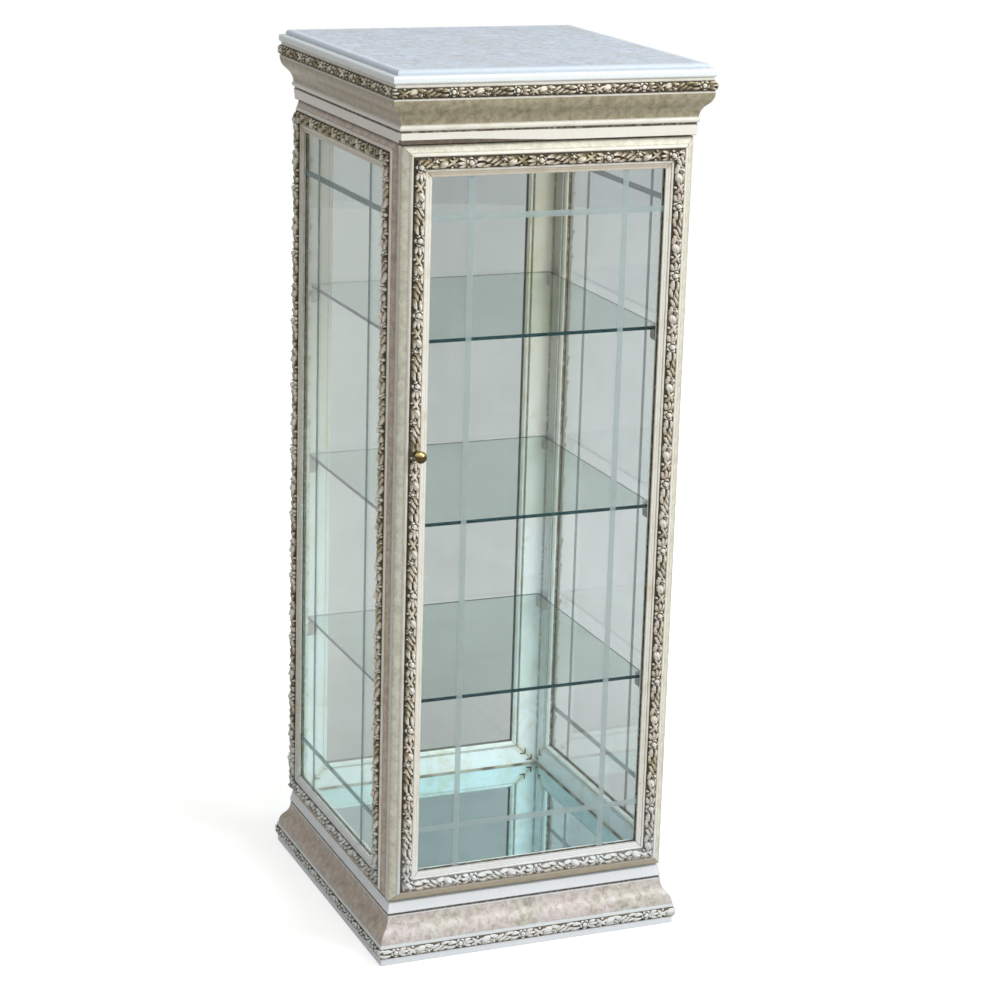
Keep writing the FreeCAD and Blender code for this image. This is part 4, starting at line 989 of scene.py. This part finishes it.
studio = {
    "camera": (-1.4542, -3.5635, 1.7174), "right": (0.92592, -0.37671, 0.02764), "up": (0.07957, 0.26605, 0.96069),
    "forward": (0.36925, 0.88731, -0.27631), "lens": 98.50, "sensor": 36.0, "farthest": 50.0,
    "ambient": 0.30, "warmFill": (1.0, 0.955, 0.88), "floor": 0.60, "glowNear": 0.66, "glowFar": 0.95,
    "glowFrom": (0.35, 1.5), "floorRadius": 6000, "floorRings": 12, "floorSpokes": 48,
    "lamps": {  # place, aim, size, watts, colour
        "keyLamp": ((1.9, -2.4, 3.3), (0.0, 0.0, 0.62), 1.8, 84.0, (1.0, 0.985, 0.95)),
        "skyLamp": ((-0.2, -0.9, 4.2), (0.0, 0.0, 1.0), 2.6, 44.0, (0.92, 0.96, 1.0)),
        "frontLamp": ((0.2, -4.2, 1.3), (0.0, 0.0, 0.62), 2.4, 27.0, (1.0, 0.99, 0.965))}}


def seenWhite(tree):  # 1 for rays from the camera, from gloss and through glass
    path = node("LightPath", {}, tree)
    total = path["Is Camera Ray"]
    for name in ("Is Glossy Ray", "Is Transmission Ray"):
        total = calc("MAXIMUM", total, path[name])
    return total


def makeFloor():
    # Flat rings about the cabinet: radius in even steps, angle in even steps, the innermost ring filled
    rows, spokes = studio["floorRings"], studio["floorSpokes"]
    radius = np.linspace(0, studio["floorRadius"], rows + 1)[1:, None]
    turn = np.linspace(0, 2 * np.pi, spokes + 1)[None, :-1]
    points = np.stack([radius * np.cos(turn), radius * np.sin(turn), np.zeros((rows, spokes))], -1).reshape(-1, 3)
    k, m = np.meshgrid(np.arange(rows - 1) * spokes, np.arange(spokes), indexing="ij")
    beside = (m + 1) % spokes
    quads = np.stack([k + m, k + spokes + m, k + spokes + beside, k + beside], -1).reshape(-1, 4)
    mesh = bpy.data.meshes.new("studioFloor")
    mesh.from_pydata((points * mm).tolist(), [], quads.tolist() + [list(range(spokes))])
    floor = bpy.data.objects.new("studioFloor", mesh)
    scene.collection.objects.link(floor)
    return floor


def floorFinish():  # pale and matt, with a glow that turns it white further off
    material, shader, spot = newFinish("paleFloor")
    shader.inputs["Roughness"].default_value = 0.9
    shader.inputs["Specular IOR Level"].default_value = 0.0
    shader.inputs["Emission Color"].default_value = (1, 1, 1, 1)
    tone = studio["floor"]
    speckle = cloud(spot, 6.0, 3.0)
    feed(shader.inputs["Base Color"], mixColour(speckle, (tone,) * 3, (tone + 0.02,) * 3))
    reach = node("VectorMath", {0: spot}, operation="LENGTH")["Value"]
    away = step(reach, *studio["glowFrom"])
    glow = line(away, studio["glowFar"] - studio["glowNear"], studio["glowNear"])
    feed(shader.inputs["Emission Strength"], times(seenWhite(material.node_tree), glow))
    return material


scene = bpy.context.scene
world = bpy.data.worlds.new("studio")
world.use_nodes = True
scene.world = world
sky = world.node_tree
background = next(n for n in sky.nodes if n.type == "BACKGROUND")
feed(background.inputs["Color"], mixColour(seenWhite(sky), studio["warmFill"], (1, 1, 1)))
feed(background.inputs["Strength"], line(seenWhite(sky), 1.0 - studio["ambient"], studio["ambient"]))
makeFloor().data.materials.append(floorFinish())

for name, (place, aim, size, watts, colour) in studio["lamps"].items():
    lamp = bpy.data.lights.new(name, "AREA")
    lamp.shape, lamp.size, lamp.energy, lamp.color = "DISK", size, watts, colour
    holder = bpy.data.objects.new(name, lamp)
    holder.location = place
    holder.rotation_mode = "QUATERNION"
    holder.rotation_quaternion = (Vector(aim) - Vector(place)).to_track_quat("-Z", "Y")
    scene.collection.objects.link(holder)

camera = bpy.data.objects.new("camera", bpy.data.cameras.new("camera"))
camera.data.sensor_fit, camera.data.sensor_width = "HORIZONTAL", studio["sensor"]
camera.data.lens, camera.data.clip_end = studio["lens"], studio["farthest"]
turned = Matrix((studio["right"], studio["up"], [-v for v in studio["forward"]])).transposed()
camera.matrix_world = Matrix.Translation(studio["camera"]) @ turned.to_4x4()
scene.collection.objects.link(camera)
scene.camera = camera
scene.view_settings.view_transform = "Standard"
print("studio ready")
